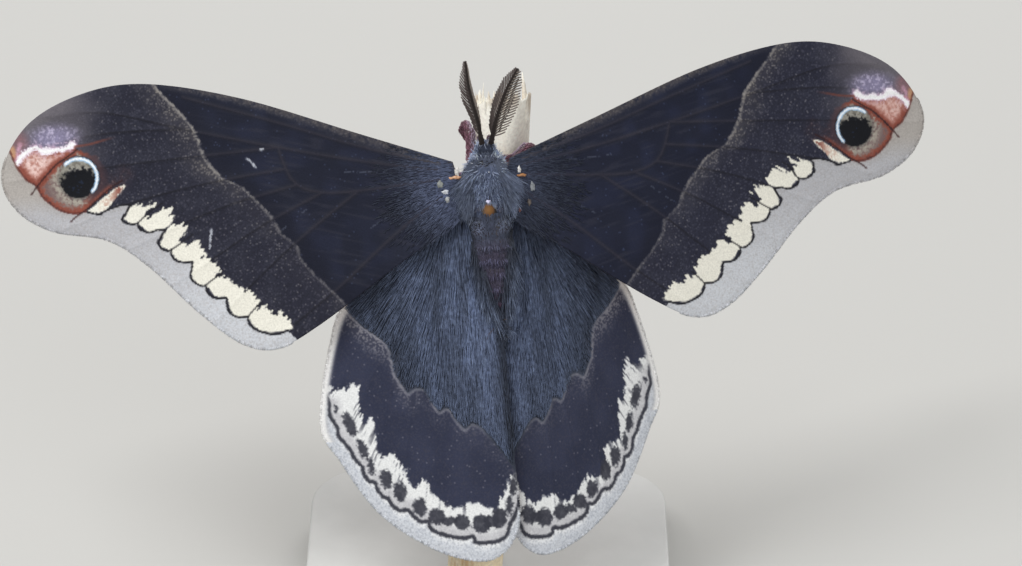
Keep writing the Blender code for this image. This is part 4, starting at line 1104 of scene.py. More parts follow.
def thorax_coat():
    """Slate hair that lies back from a pale collar, ends in painted shade, and leaves the bare spot and its
    highlight free.
    """
    y, angle = scatter(thinned(THORAX_TUFTS), -3.1, 2.75)
    place, out = skin_ways(y, angle)
    spot = np.where(place[:, 2] > 0, np.hypot(place[:, 0] - BARE_SPOT[0], y - BARE_SPOT[1] - 0.25), 9)
    # Hair is kept off the bare spot, and off the painted highlight just ahead of it.
    keep = (spot > BARE_RADIUS + 0.08) & (np.hypot(place[:, 0] - BARE_SPOT[0] + 0.1, y + 1.55) > 0.3)
    y, angle, place, out, spot = y[keep], angle[keep], place[keep], out[keep], spot[keep]
    count = len(y)
    front = ease(y, 1.25, 2.0)
    clump = blotches(np.c_[angle * 2.4, y], 0.55, 31)
    side_way = 0.4 * np.sin(angle) * (1 + 0.5 * front) + 0.5 * (clump - 0.5) + draw.normal(0, 0.13, count)
    lie = np.c_[side_way, -1 + 1.7 * front + draw.normal(0, 0.1, count), 0.1 * np.cos(angle)]
    length = draw.uniform(1.0, 1.7, count) * (1 + 0.1 * front * np.abs(np.sin(angle)))
    length = length * (0.4 + 0.6 * ease(spot, 0.6, 1.9))
    lift = draw.uniform(0.2, 0.5, count) + 0.25 * (clump - 0.5)
    lines = hair_lines(place, lie, out, length, lift, draw.uniform(0.2, 0.4, count),
                       draw.normal(0, 0.12, count))
    roots, tips = tinted(count, "#434A5C", "#5F6880"), tinted(count, "#8C97B2", "#C2CCE4")
    tips = np.minimum(tips * ((0.8 + 0.5 * clump) * (1 + 0.2 * front))[:, None], 1)
    cover(tips, "#DADBE4", front * ease(np.abs(angle), 1.9, 1.2) * draw.random(count))
    cover(roots, "#6A7082", front * 0.7)
    rosy = np.exp(-((np.abs(place[:, 0]) - 1.3) ** 2 + (y + 1.7) ** 2) / 0.2) * (place[:, 2] > 0)
    cover(tips, "#C8A8A4", rosy * 0.75)
    ends = lines[:, 3]
    # Painted shade: a dark band where the thorax's hair ends over the abdomen.
    cover(tips, "#2C303C", ease(np.abs(ends[:, 1] + 3.35), 0.4, 0.2) * (np.abs(ends[:, 0]) < 1.8) * 0.8)
    cover(tips, "#C6CFE4", ease(np.hypot(ends[:, 1] + 4.15, np.abs(ends[:, 0]) - 1.25), 0.9, 0.4))
    tufts("thorax_coat", lines, out, draw.uniform(0.09, 0.15, count), roots, tips, skin_plan(y, angle),
          fur_finish)


def shoulder_coat(word, side):
    """The long hair of the shoulder, which lies back over the forewing's root."""
    count = thinned(SHOULDER_TUFTS)
    y = draw.uniform(-0.4, 2.0, count)
    angle = side * np.radians(draw.uniform(26, 84, count))
    place, out = skin_ways(y, angle)
    clump = blotches(np.c_[angle * 4, y * 0.5], 0.5, 33)
    lie = np.c_[side * (0.2 + 0.5 * clump + draw.normal(0, 0.05, count)), -1 + draw.normal(0, 0.06, count),
                draw.uniform(0.05, 0.35, count)]
    lines = hair_lines(place, lie, out, draw.uniform(2.0, 3.6, count), draw.uniform(0.15, 0.4, count),
                       draw.uniform(0.15, 0.3, count), draw.normal(0, 0.08, count))
    tips = tinted(count, "#8690AC", "#C2CCE4") * (0.68 + 0.5 * clump)[:, None]
    tufts(f"shoulder_coat_{word}", lines, out, draw.uniform(0.08, 0.14, count),
          tinted(count, "#3C4150", "#555C6C"), tips, skin_plan(y, angle), fur_finish)


thorax_coat()
shoulder_coat("left", -1)
shoulder_coat("right", 1)

# %% The abdomen's coat
ABDOMEN_TUFTS = 9500
# The hindwings' hair lies over both sides of the abdomen: y and x of each edge where it ends.
LEFT_HAIR_EDGE = [(-12.7, 0.62), (-9.7, -0.39), (-7.3, -1.18), (-4.8, -1.77)]
RIGHT_HAIR_EDGE = [(-12.7, 0.62), (-11.4, 0.75), (-9.8, 0.84), (-7.6, 1.18), (-5.6, 1.62), (-4.2, 2.0)]


def abdomen_coat():
    """Short maroon hair down the middle, and the hindwings' longer slate hair over both sides of it."""
    y, angle = scatter(thinned(ABDOMEN_TUFTS), TAIL, -2.9)
    place, out = skin_ways(y, angle)
    count = len(y)
    x, upper = place[:, 0], np.abs(angle) < 1.9
    rough = draw.normal(0, 0.12, count)
    left = (x < np.interp(y, *np.array(LEFT_HAIR_EDGE).T) + rough) & upper
    right = (x > np.interp(y, *np.array(RIGHT_HAIR_EDGE).T) + rough) & upper
    covered = left | right
    segment = np.cos(np.pi * (y - TAIL) / SEGMENT_LENGTH) ** 2
    aside = 0.12 * np.sin(angle) + 0.3 * left - 0.16 * right + draw.normal(0, 0.07, count)
    lie = np.c_[aside, -np.ones(count), np.zeros(count)]
    length = np.where(covered, draw.uniform(1.9, 3.2, count), draw.uniform(0.7, 1.2, count))
    lift = np.where(covered, draw.uniform(0.12, 0.34, count), draw.uniform(0.1, 0.28, count))
    patch = ease(np.hypot(y + 4.1, np.abs(x) - 1.25), 0.95, 0.4) * upper
    lift += 0.5 * patch
    lines = hair_lines(place, lie, out, length, lift, draw.uniform(0.1, 0.25, count),
                       draw.normal(0, 0.08, count))
    roots, tips = tinted(count, "#322E3C", "#48414F"), tinted(count, "#62607C", "#9492B0")
    tips *= (0.85 + 0.3 * segment)[:, None]
    cover(tips, "#6E4A5C", ease(y, -7.5, -11) * draw.random(count) * 0.9)
    cover(tips, "#8A90A6", ease(y, -6.8, -4.8) * draw.random(count))
    cover(roots, "#474D5E", ease(y, -6.5, -5.0))
    cover(tips, "#D0D9EE", patch)
    cover(roots, "#8A93AC", patch * 0.8)
    # Painted shade down the abdomen's sides, in the grooves where the hindwings' hair closes round it.
    flank_shade = ease(np.abs(angle), 0.75, 1.3) * (1 - patch)
    cover(tips, "#23242E", flank_shade * 0.7)
    cover(roots, "#1B1C24", flank_shade * 0.7)
    hair = tinted(count, "#6E7993", "#A6B2CE", 0.8)
    left_edge, right_edge = (np.interp(y, *np.array(edge).T) for edge in (LEFT_HAIR_EDGE, RIGHT_HAIR_EDGE))
    from_edge = np.where(left, left_edge - x, x - right_edge)
    # Painted shade: the hindwings' hair darkens towards its edge over the abdomen, along those grooves.
    cover(hair, "#2E313D", ease(from_edge, 0.7, 0.1) * 0.6)
    cover(hair, "#8A6E55", ease(y, -12.6, -13.1) * ease(np.abs(x - 0.45), 0.6, 0.3))
    tips = np.where(covered[:, None], hair, tips)
    roots = np.where(covered[:, None], hair * 0.6, roots)
    tufts("abdomen_coat", lines, out, draw.uniform(0.08, 0.14, count), roots, tips, skin_plan(y, angle),
          fur_finish)


abdomen_coat()

# %% The head's coat
HEAD_TUFTS = 2200
HEAD_X = 0.05  # the head sits a little off the middle


def head_coat():
    """The shortest hair, which stands out beside the antennae."""
    y, angle = scatter(thinned(HEAD_TUFTS), 2.3, 3.98)
    place, out = skin_ways(y, angle)
    count = len(y)
    aside = ease(np.abs(angle), 0.7, 1.3)
    lie = np.c_[np.sin(angle) * (0.3 + 0.9 * aside), 0.8 - 0.5 * aside,
                draw.normal(0, 0.2, count) + 0.35 * aside]
    lines = hair_lines(place, lie, out, draw.uniform(0.4, 0.7, count) * (1 + 0.45 * aside),
                       draw.uniform(0.2, 0.5, count), draw.uniform(0.1, 0.3, count),
                       draw.normal(0, 0.15, count), 0.06)
    tips = tinted(count, "#7D86A0", "#B4BDD6")
    beside_antenna = ease(np.hypot(np.abs(place[:, 0] - HEAD_X) - 0.6, y - 3.6), 0.5, 0.1)
    cover(tips, "#D6DDF4", beside_antenna * draw.random(count))
    # Painted shade: a dark band across the head's hair, where the head meets the collar.
    cover(tips, "#23252F", ease(np.abs(y - 2.95), 0.25, 0.08) * 0.7)
    tufts("head_coat", lines, out, draw.uniform(0.08, 0.13, count), tinted(count, "#3C4150", "#555C6E"),
          tips, skin_plan(y, angle), fur_finish)


head_coat()

# %% [markdown]
# ## Tubes
#
# Antennae, claws, legs and splinters are thin and round, so they are all tapered tubes along a line. A
# bevelled curve would do for one of them. A function that makes hundreds at a time is quicker, and gives
# each its own taper.


# %% Many tapered tubes at once
def ring_walls(rings, sides):
    """Pairs of triangles between closed rings of points, which follow one another in one list."""
    here = np.arange((rings - 1) * sides)
    beside = here + 1 - sides * (here % sides == sides - 1)
    return np.stack([here, beside, beside + sides, here, beside + sides, here + sides], 1).reshape(-1, 3)


def tubes(lines, radii, sides, facing=(0.0, 0.0, 1.0)):
    """Closed tubes along lines of shape (count, points, 3), with radii of shape (count, points)."""
    count, steps, _ = lines.shape
    ahead = np.gradient(lines, axis=1)
    ahead /= np.maximum(np.linalg.norm(ahead, axis=2, keepdims=True), 1e-9)
    across = np.cross(ahead, np.broadcast_to(facing, ahead.shape))
    across /= np.maximum(np.linalg.norm(across, axis=2, keepdims=True), 1e-9)
    up = np.cross(across, ahead)
    turn = np.arange(sides) * 2 * np.pi / sides
    ring = across[:, :, None] * np.cos(turn)[:, None] + up[:, :, None] * np.sin(turn)[:, None]
    points = lines[:, :, None] + ring * radii[:, :, None, None]
    last = (steps - 1) * sides
    ends = [end for k in range(1, sides - 1) for end in ((0, k + 1, k), (last, last + k, last + k + 1))]
    faces = np.vstack([ring_walls(steps, sides), ends])
    faces = faces[None] + np.arange(count)[:, None, None] * steps * sides
    return points.reshape(-1, 3), faces.reshape(-1, 3)


def joined(parts):
    """One set of points and faces from several."""
    points, faces, start = [], [], 0
    for p, f in parts:
        points.append(p)
        faces.append(f + start)
        start += len(p)
    return np.vstack(points), np.vstack(faces)


def at_share(line, share):
    """Places on a line at shares of its length, from 0 to 1."""
    even = np.linspace(0, 1, len(line))
    return np.stack([np.interp(share, even, line[:, k]) for k in range(3)], 1)


print("a tube of 2 rings of 5 points has", len(ring_walls(2, 5)) + 6, "triangles")


# %% [markdown]
# ## Bare plates at the wing roots, and painted highlights on the back
#
# Where a forewing hinges on the body, small plates of shell and a few white scales show between the
# hair, white and orange. Each is a low dome, drawn out along the wing or across it. Rings of points
# with a wavy rim are enough at this size, tilted to lie on the wing below. Two pale domes of the same
# kind on the thorax's back are painted highlights: a glint just ahead of the bare spot, and a small one
# further forward.

# %% Root plates and the back's painted highlights: place, half sizes, colour
ROOT_PLATES = [
    ((-2.78, 1.2), (0.25, 0.44), "#E4E0DA"), ((-3.0, 0.68), (0.66, 0.19), "#D0A07A"),
    ((-4.45, 0.15), (0.34, 0.42), "#80837F"), ((-4.0, -0.62), (0.38, 0.27), "#D0D4DA"),
    ((-3.85, -1.35), (0.26, 0.36), "#A7A9A8"), ((3.15, 1.05), (0.19, 0.4), "#E9E6E2"),
    ((3.35, 0.5), (0.54, 0.17), "#B47E4E"), ((4.3, -0.65), (0.27, 0.52), "#878B90"),
    ((3.9, -2.1), (0.22, 0.40), "#5E544E"), ((2.95, -2.75), (0.15, 0.3), "#7E4A3E"),
]
# Painted highlights on the thorax's back, as pale low domes: a glint just ahead of the bare spot, and a small
# dot further forward.
BACK_HIGHLIGHTS = [((0.02, -1.84), (0.25, 0.19), "#D3D2F0"), ((0.26, 0.94), (0.06, 0.07), "#E6E8EE")]
PLATE_RISE = 0.12
PLATE_RINGS, PLATE_SIDES = 6, 24
PLATE_SEAT, PLATE_SKIRT = 0.1, 0.2  # how far over the wing a plate sits, and how far its rim reaches down
BACK_REACH = 1  # a plate nearer to the middle than this lies on the back, not on a wing
BACK_SEAT, BACK_SKIRT = 0.55, 0.6
BACK_RADIUS = 2.4
fore_length = float(fore_flat[:, 0].max())
fore_ways = {hang["side"]: wing_ways(fore_flat, hang, fore_length) for hang in (FORE_LEFT, FORE_RIGHT)}


def plate_seat(x, y):
    """The height of a plate's middle, the way that it faces and how far its rim reaches down."""
    # Near the middle, a dome is a painted highlight on the thorax's back.
    if abs(x) < BACK_REACH:
        on_back = on_skin(np.array([y]), np.array([math.asin(x / BACK_RADIUS)]))[0, 2]
        return on_back + BACK_SEAT, np.array([0, 0, 1.0]), BACK_SKIRT
    here, _, _, out = fore_ways[1 if x > 0 else -1]
    near = np.argmin(np.hypot(here[:, 0] - x, here[:, 1] - y))
    return here[near, 2] + PLATE_SEAT, out[near], PLATE_SKIRT


def plate(x, y, wide, long):
    """A low dome with a wavy rim, tilted to what lies under it: its points and faces."""
    floor_z, facing, skirt = plate_seat(x, y)
    share = np.linspace(0, 1, PLATE_RINGS + 1)[1:]
    turn = np.linspace(0, 2 * np.pi, PLATE_SIDES + 1)[:-1]
    r, a = (q.ravel() for q in np.meshgrid(share, turn, indexing="ij"))
    wavy = 1 + 0.1 * np.sin(3 * a + x * 5) + 0.12 * np.sin(5 * a + y) + 0.1 * np.sin(9 * a + x)
    spread = np.c_[r * wavy * wide * np.cos(a), r * wavy * long * np.sin(a)]
    height = floor_z - spread @ facing[:2] / facing[2] + PLATE_RISE * (1 - r**2) - skirt * (r > 0.99)
    dots = np.vstack([np.c_[spread + (x, y), height], [x, y, floor_z + PLATE_RISE]])
    k = np.arange(PLATE_SIDES)
    n = (k + 1) % PLATE_SIDES
    rim, crown = (PLATE_RINGS - 1) * PLATE_SIDES, PLATE_RINGS * PLATE_SIDES
    closing = [np.c_[k, n, 0 * k + crown], np.c_[rim + n, rim + k, 0 * k + rim][1:-1]]
    return dots, np.vstack([ring_walls(PLATE_RINGS, PLATE_SIDES)[:, ::-1], *closing])


plate_parts, plate_shades = [], []
for (x, y), (wide, long), paint in ROOT_PLATES + BACK_HIGHLIGHTS:
    dots, sheets = plate(x, y, wide, long)
    plate_parts.append((dots, sheets))
    shade = plain(paint, len(dots)) * (0.8 + 0.35 * blotches(dots[:, :2], 0.15, 71))[:, None]
    plate_shades.append(np.clip(shade, 0, 1))
plate_points, plate_faces = joined(plate_parts)
piece("root_plates_and_highlights", plate_points, plate_faces, shell, np.vstack(plate_shades))

# %% [markdown]
# ## Hair and fringe on the wings
#
# Long slate hair runs from each hindwing's root down to its pale line, and shorter hair covers the
# forewing's base. All along the outer edge the scales grow out into a soft fringe. The hairs are laid out
# on the wing's flat plan and hung with it, so that they follow its droop and its arch.

# %% Lines of hair on a wing
def wing_lines(flat, ways, length, hang, reach, height):
    """Lines on a wing from flat places, along flat ways, rising a little above the upper side."""
    lines = np.empty((len(flat), 4, 3))
    for k, t in enumerate(TUFT_SHARES):
        here, _, _, out = wing_ways(flat + ways * (length * t)[:, None], hang, reach)
        rise = height * math.sin(math.pi * min(t + 0.12, 1)) + (0.08 if t else -0.05)
        lines[:, k] = here + out * rise[:, None]
        if k == 1:
            outward = out
    return lines, outward


# %% Hair of the hindwings and the forewings
HIND_HAIRS, FORE_HAIRS = 7500, 3600


def hindwing_hair(word, hang):
    """Long hair that fans out from the root and ends before the pale line."""
    count = thinned(HIND_HAIRS)
    flat = draw.uniform((-2.6, -25), (12, 1.5), (count * 4, 2))
    gone = below(flat, HIND_BAND)
    inner = ease(flat[:, 0], 8, -1)
    kept = within(flat, hind_rim) & (gone < -0.7) & (draw.random(len(flat)) < 0.35 + 0.65 * inner)
    flat, inner, gone = flat[kept][:count], inner[kept][:count], gone[kept][:count]
    count = len(flat)
    clump = blotches(flat / [1, 5], 0.8, 51)
    fan = unit(flat - (0.4, 3.0)) * (1 - 0.45 * inner[:, None]) + np.array([0.0, -0.45]) * inner[:, None]
    turn = draw.normal(0, 0.05, count) + 0.16 * (clump - 0.5)
    ways = unit(fan + np.c_[-fan[:, 1], fan[:, 0]] * turn[:, None])
    steep = np.maximum(-ways[:, 1], 0.35)
    length = np.minimum(draw.uniform(1.6, 4.4, count), np.maximum(-gone * 0.9 / steep * 0.85, 0.5))
    to_line = np.where(flat[:, 0] > 6.5, distance(flat, smooth_line(HIND_BAND, 0.5)), 9)
    length = np.minimum(length, np.maximum(to_line, 0.4))
    lines, out = wing_lines(flat, ways, length, hang, hind_rim[:, 0].max(), draw.uniform(0.03, 0.28, count))
    roots, tips = tinted(count, "#3E4557", "#5C657C", 0.8), tinted(count, "#6C7792", "#A2AFCC", 0.55)
    light = ((0.76 + 0.34 * clump) * (0.84 + 0.26 * inner))[:, None]
    # Painted shade in the groove along each hindwing's inner margin, where the two wings meet.
    margin = hind_rim[(hind_rim[:, 0] < -1.5) & (hind_rim[:, 1] < -4)]
    light *= 1 - 0.5 * ease(distance(flat, margin), 1.0, 0.2)[:, None]
    plan = (flat - hind_flat.min(0)) / PLAN_SIZE + PLAN_EDGE
    tufts(f"hindwing_hair_{word}", lines, out, draw.uniform(0.07, 0.13, count), roots * light, tips * light,
          plan, wing_hair_finish)


def forewing_hair(word, hang):
    """Short hair that thins out away from the forewing's root."""
    count = thinned(FORE_HAIRS)
    flat = draw.uniform((-0.4, -8), (11, 5), (count * 4, 2))
    near_root = ease(np.hypot(flat[:, 0], flat[:, 1] + 1), 8.5, 0.5)
    kept = within(flat, fore_rim) & (draw.random(len(flat)) < near_root)
    flat, near_root = flat[kept][:count], near_root[kept][:count]
    count = len(flat)
    ways = unit(unit(flat - (-4.0, 0.8)) + draw.normal(0, 0.06, (count, 2)))
    lines, out = wing_lines(flat, ways, draw.uniform(0.4, 1.2, count), hang, fore_rim[:, 0].max(),
                            draw.uniform(0.0, 0.06, count))
    tips = tinted(count, "#313543", "#444959", 0.9)
    tips *= (0.8 + (0.85 if hang["side"] < 0 else 0.45) * near_root)[:, None]
    plan = (flat - fore_flat.min(0)) / PLAN_SIZE + PLAN_EDGE
    tufts(f"forewing_hair_{word}", lines, out, draw.uniform(0.05, 0.09, count), tips * 0.88, tips, plan,
          wing_hair_finish)


# %% The fringe along the outer edge, and all that grows on the wings
FRINGE_HAIRS = 2600


def fringe(name, rim, flat, colours, hang, start, end):
    """Scale hairs that stand out from the rim, between two shares of its length."""
    count = thinned(FRINGE_HAIRS)
    share = draw.uniform(start, end, count)
    place = share * len(rim)
    i = place.astype(int) % len(rim)
    j = (i + 1) % len(rim)
    spot = rim[i] + (rim[j] - rim[i]) * (place % 1)[:, None]
    ahead = unit(rim[j] - rim[i])
    away = np.c_[ahead[:, 1], -ahead[:, 0]]
    away = away * np.where(within(spot + away * 0.05, rim), -1, 1)[:, None]
    ways = unit(away + draw.normal(0, 0.16, (count, 2)))
    lines, out = wing_lines(spot - ways * 0.25, ways, draw.uniform(0.34, 0.44, count), hang, rim[:, 0].max(),
                            np.zeros(count))
    lines -= out[:, None] * 0.07
    here = colours[i] * draw.uniform(0.86, 1.08, (count, 1))
    plan = (spot - flat.min(0)) / PLAN_SIZE + PLAN_EDGE
    tufts(name, lines, out, draw.uniform(0.05, 0.09, count), here, here, plan, wing_hair_finish)


for word, hang in (("left", HIND_LEFT), ("right", HIND_RIGHT)):
    hindwing_hair(word, hang)
    fringe(f"hindwing_fringe_{word}", hind_rim, hind_flat, HIND_UPPER[hang["side"]], hang, 0.12, 0.67)
for word, hang in (("left", FORE_LEFT), ("right", FORE_RIGHT)):
    forewing_hair(word, hang)
    fringe(f"forewing_fringe_{word}", fore_rim, fore_flat, FORE_UPPER[hang["side"]], hang, 0.43, 0.77)

# %% [markdown]
# ## Antennae
#
# A male finds females by scent, so his antennae are broad combs. Each joint of the shaft carries two
# pairs of curved branches, and each branch has rows of fine hairs. A flat cut-out with a pattern would
# look right only from one side, so shaft, branches and hairs are all tubes. There are 22 joints, fewer
# than a real one has, and the hairs are thicker than real ones, so that they show.


# %% The two antennae
LEFT_SHAFT = [(-0.22, 3.8, 0.45), (-0.45, 5.8, 2.2), (-0.8, 7.5, 3.7), (-1.08, 9.2, 5.1), (-1.2, 11.3, 6.5)]
RIGHT_SHAFT = [(0.66, 3.8, 0.45), (1.2, 5.6, 2.2), (1.82, 7.2, 3.6), (2.62, 8.8, 5.0), (3.6, 10.3, 6.3)]
LEFT_COMBS = ((-0.25, -0.27, -0.86), (0.14, 0.10, -1.0))
RIGHT_COMBS = ((-0.36, 0.10, -0.92), (0.86, -0.28, -0.38))
JOINTS = 22
BRANCH_LENGTH = 1.7
BRANCH_SWEEP = 0.45
BRANCH_STEPS = np.linspace(0, 1, 6)
BRANCH_RADII = 0.085 - 0.02 * BRANCH_STEPS
SENSE_HAIRS = 11
SENSE_HAIR_LENGTH = 0.07
SENSE_HAIR_RADII = (0.011, 0.004)


def antenna(word, route, combs):
    """A jointed shaft with two combs of paired branches, and sense hairs along each branch."""
    line = smooth_line(route, 0.09)
    share = np.linspace(0, 1, len(line))
    swell = 1 + 0.22 * np.abs(np.cos(np.pi * share * JOINTS)) ** 4
    girth = np.interp(share, [0, 0.06, 0.12, 1], [0.25, 0.24, 0.18, 0.09]) * swell
    parts = [tubes(line[None], girth[None], 10)]
    shades = [plain("#2F2826", len(parts[0][0]))]
    for row_number, comb in enumerate(combs):
        for second in (0, 1):
            at = (np.arange(JOINTS) + 0.4 + 0.12 * second) / JOINTS * 0.9 + 0.08
            root = at_share(line, at)
            ahead = unit(at_share(line, at + 0.02) - root)
            other = unit(np.array([combs[1 - row_number]]))[0]
            out = np.array(comb) / np.linalg.norm(comb) + 0.62 * second * other
            out = unit(out - ahead * (ahead @ out)[:, None])
            length = BRANCH_LENGTH * np.sin(np.pi * (0.14 + 0.82 * at)) ** 0.9 * (1 - 0.12 * second)
            length = (length * draw.uniform(0.95, 1.05, JOINTS))[:, None, None]
            t = BRANCH_STEPS[None, :, None]
            lines = root[:, None] + length * (out[:, None] * t + ahead[:, None] * BRANCH_SWEEP * t * t)
            parts.append(tubes(lines, np.broadcast_to(BRANCH_RADII, lines.shape[:2]), 5, comb))
            light = "#5A504D" if row_number == 0 else "#8E847C"
            # Painted shade: the second branch of each pair is darker, so that the gaps between branches look
            # shaded.
            shades.append(plain(light, len(parts[-1][0])) * (1 - 0.4 * second))
            hair_at = np.linspace(0.12, 0.98, SENSE_HAIRS)
            for sign in (-1, 1):
                base = [root + length[:, 0] * (out * h + ahead * BRANCH_SWEEP * h * h) for h in hair_at]
                base = np.stack(base, 1)
                reach = ahead[:, None] * sign * SENSE_HAIR_LENGTH + out[:, None] * SENSE_HAIR_LENGTH * 0.6
                hairs = np.stack([base, base + reach], 2).reshape(-1, 2, 3)
                thin = np.broadcast_to(SENSE_HAIR_RADII, (len(hairs), 2))
                parts.append(tubes(hairs, thin, 3, comb))
                shades.append(plain("#6B615C", len(parts[-1][0])))
    points, faces = joined(parts)
    piece(f"antenna_{word}", points, faces, antenna_finish, np.vstack(shades),
          stands_for=(f"antenna_{word}",))


antenna_finish = hair_finish("moth_antenna_chitin", 0.0)
antenna("left", LEFT_SHAFT, LEFT_COMBS)
antenna("right", RIGHT_SHAFT, RIGHT_COMBS)

# %% [markdown]
# ## Eyes
#
# A compound eye is a dome of tiny lenses, dark and glossy. Modelled one by one they would never show, so
# the eye is a smooth ball, and a pattern of cells gives the lenses as bumps. Real ones are about
# 0.03 mm wide, and these are drawn about twice as wide, so that they show at all.

# %% Eyes
EYE_RADIUS = 0.65
EYE_STRETCH = (0.92, 1.0, 1.06)
EYE_ASIDE, EYE_AHEAD, EYE_LOW = 0.68, 2.75, -1.4
LENS_WIDTH = 0.07


def eye_finish():
    """Clear chitin lenses over a dark ground: glossy, each lens a low dome."""
    made, tree, shader = material("compound_eye_chitin", Roughness=0.12, IOR=1.5)
    where = node(tree, "TexCoord").outputs["Object"]
    lenses = node(tree, "TexVoronoi", {"Scale": per(LENS_WIDTH)}, Vector=where).outputs["Distance"]
    tone = ramp(tree, lenses, [(0.0, rgba("#3A241E")), (0.7, rgba("#120C0C"))])
    tree.links.new(tone.outputs["Color"], shader.inputs["Base Color"])
    bump = node(tree, "Bump", {"Strength": 0.5, "Distance": 0.02 * MM, "invert": True}, Height=lenses)
    tree.links.new(bump.outputs["Normal"], shader.inputs["Normal"])
    return made


eye_gloss = eye_finish()
for word, side in (("left", -1), ("right", 1)):
    form = bmesh.new()
    bmesh.ops.create_icosphere(form, subdivisions=5, radius=EYE_RADIUS)
    middle = np.array([HEAD_X + side * EYE_ASIDE, EYE_AHEAD, EYE_LOW])
    dots = np.array([v.co[:] for v in form.verts]) * EYE_STRETCH + middle
    sides_of = [[v.index for v in f.verts] for f in form.faces]
    form.free()
    piece(f"eye_{word}", dots, sides_of, eye_gloss, stands_for=(f"eye_{word}",))

# %% [markdown]
# ## Mouth feelers
#
# Two short hairy feelers stand out at the mouth, before the eyes. Little of them shows from above, so
# each is only a bunch of dark tufts round a short line.

# %% Mouth feelers
FEELER_TUFTS = 260
for word, side in (("left", -1), ("right", 1)):
    count = thinned(FEELER_TUFTS)
    start = np.array([HEAD_X + side * 0.35, 3.5, -1.0])
    way = unit(np.array([[side * 0.1, 0.75, -0.6]]))[0]
    t = draw.random(count)
    out = unit(draw.normal(0, 1, (count, 3)))
    out = unit(out - way * (out @ way)[:, None])
    roots = start + way * t[:, None] + out * 0.16
    lines = hair_lines(roots, np.tile(way, (count, 1)), out, draw.uniform(0.3, 0.5, count), 0.3, 0.1, 0.0,
                       0.1)
    tufts(f"mouth_feeler_{word}", lines, out, draw.uniform(0.08, 0.12, count),
          tinted(count, "#2B2028", "#3A2A33"), tinted(count, "#5E4650", "#8A6A72"),
          skin_plan(np.full(count, 3.6), side * 2.2 + t * 0.2), fur_finish)

# %% [markdown]
# ## Legs
#
# The legs are thin shells under pink and maroon scales, and end in claws that hold the stick. Each is a
# tube on a smooth line through its joints, thicker in the middle of each segment than at its ends. Short
# tufts that lie towards the foot stand for the scales.

# %% Legs
LEGS = {
    "leg_fore_left": [(-0.8, 1.2, -2.0), (-1.3, 2.4, -2.9), (-1.35, 3.6, -3.2), (-1.3, 4.9, -3.5),
                      (-1.6, 5.9, -4.1), (-1.95, 5.3, -5.2), (-1.75, 4.6, -6.9)],
    "leg_fore_right": [(1.0, 1.2, -2.0), (1.7, 2.0, -2.9), (2.7, 2.3, -3.0), (3.4, 2.75, -3.3),
                       (4.1, 3.3, -3.8), (4.5, 3.1, -5.4), (4.45, 2.6, -6.9)],
    "leg_mid_left": [(-1.2, 0.0, -2.2), (-2.0, 0.4, -3.0), (-3.4, 1.4, -3.8), (-4.3, 1.5, -4.8),
                     (-3.4, 0.9, -6.2), (-2.6, 1.0, -7.8)],
    "leg_mid_right": [(1.3, 0.0, -2.2), (2.2, 0.2, -3.0), (3.9, 0.2, -3.7), (4.9, 0.0, -4.9),
                      (4.8, -0.4, -6.4), (4.4, 0.4, -8.0)],
    "leg_hind_left": [(-1.2, -1.4, -2.1), (-1.9, -2.2, -2.8), (-3.4, -2.9, -3.8), (-4.2, -3.7, -4.9),
                      (-3.6, -4.8, -6.3), (-3.1, -5.4, -7.9)],
    "leg_hind_right": [(1.2, -1.2, -2.1), (1.7, -1.9, -3.0), (3.1, -3.0, -4.4), (3.9, -4.2, -5.5),
                       (4.1, -5.2, -6.9), (3.8, -5.8, -8.1)],
}
LEG_MARKS = [0, 0.2, 0.25, 0.5, 0.55, 0.75, 0.8, 1]
LEG_RADII = [0.36, 0.44, 0.32, 0.48, 0.28, 0.46, 0.24, 0.16]
LEG_TUFTS = 1100
CLAW_LENGTH = 0.55
CLAW_RADII = np.linspace(0.07, 0.012, 6)
CLAW_SPREAD = 0.14
STICK_X, STICK_DEPTH = 1.0, 6.5  # the stick's middle line, which the claws reach for


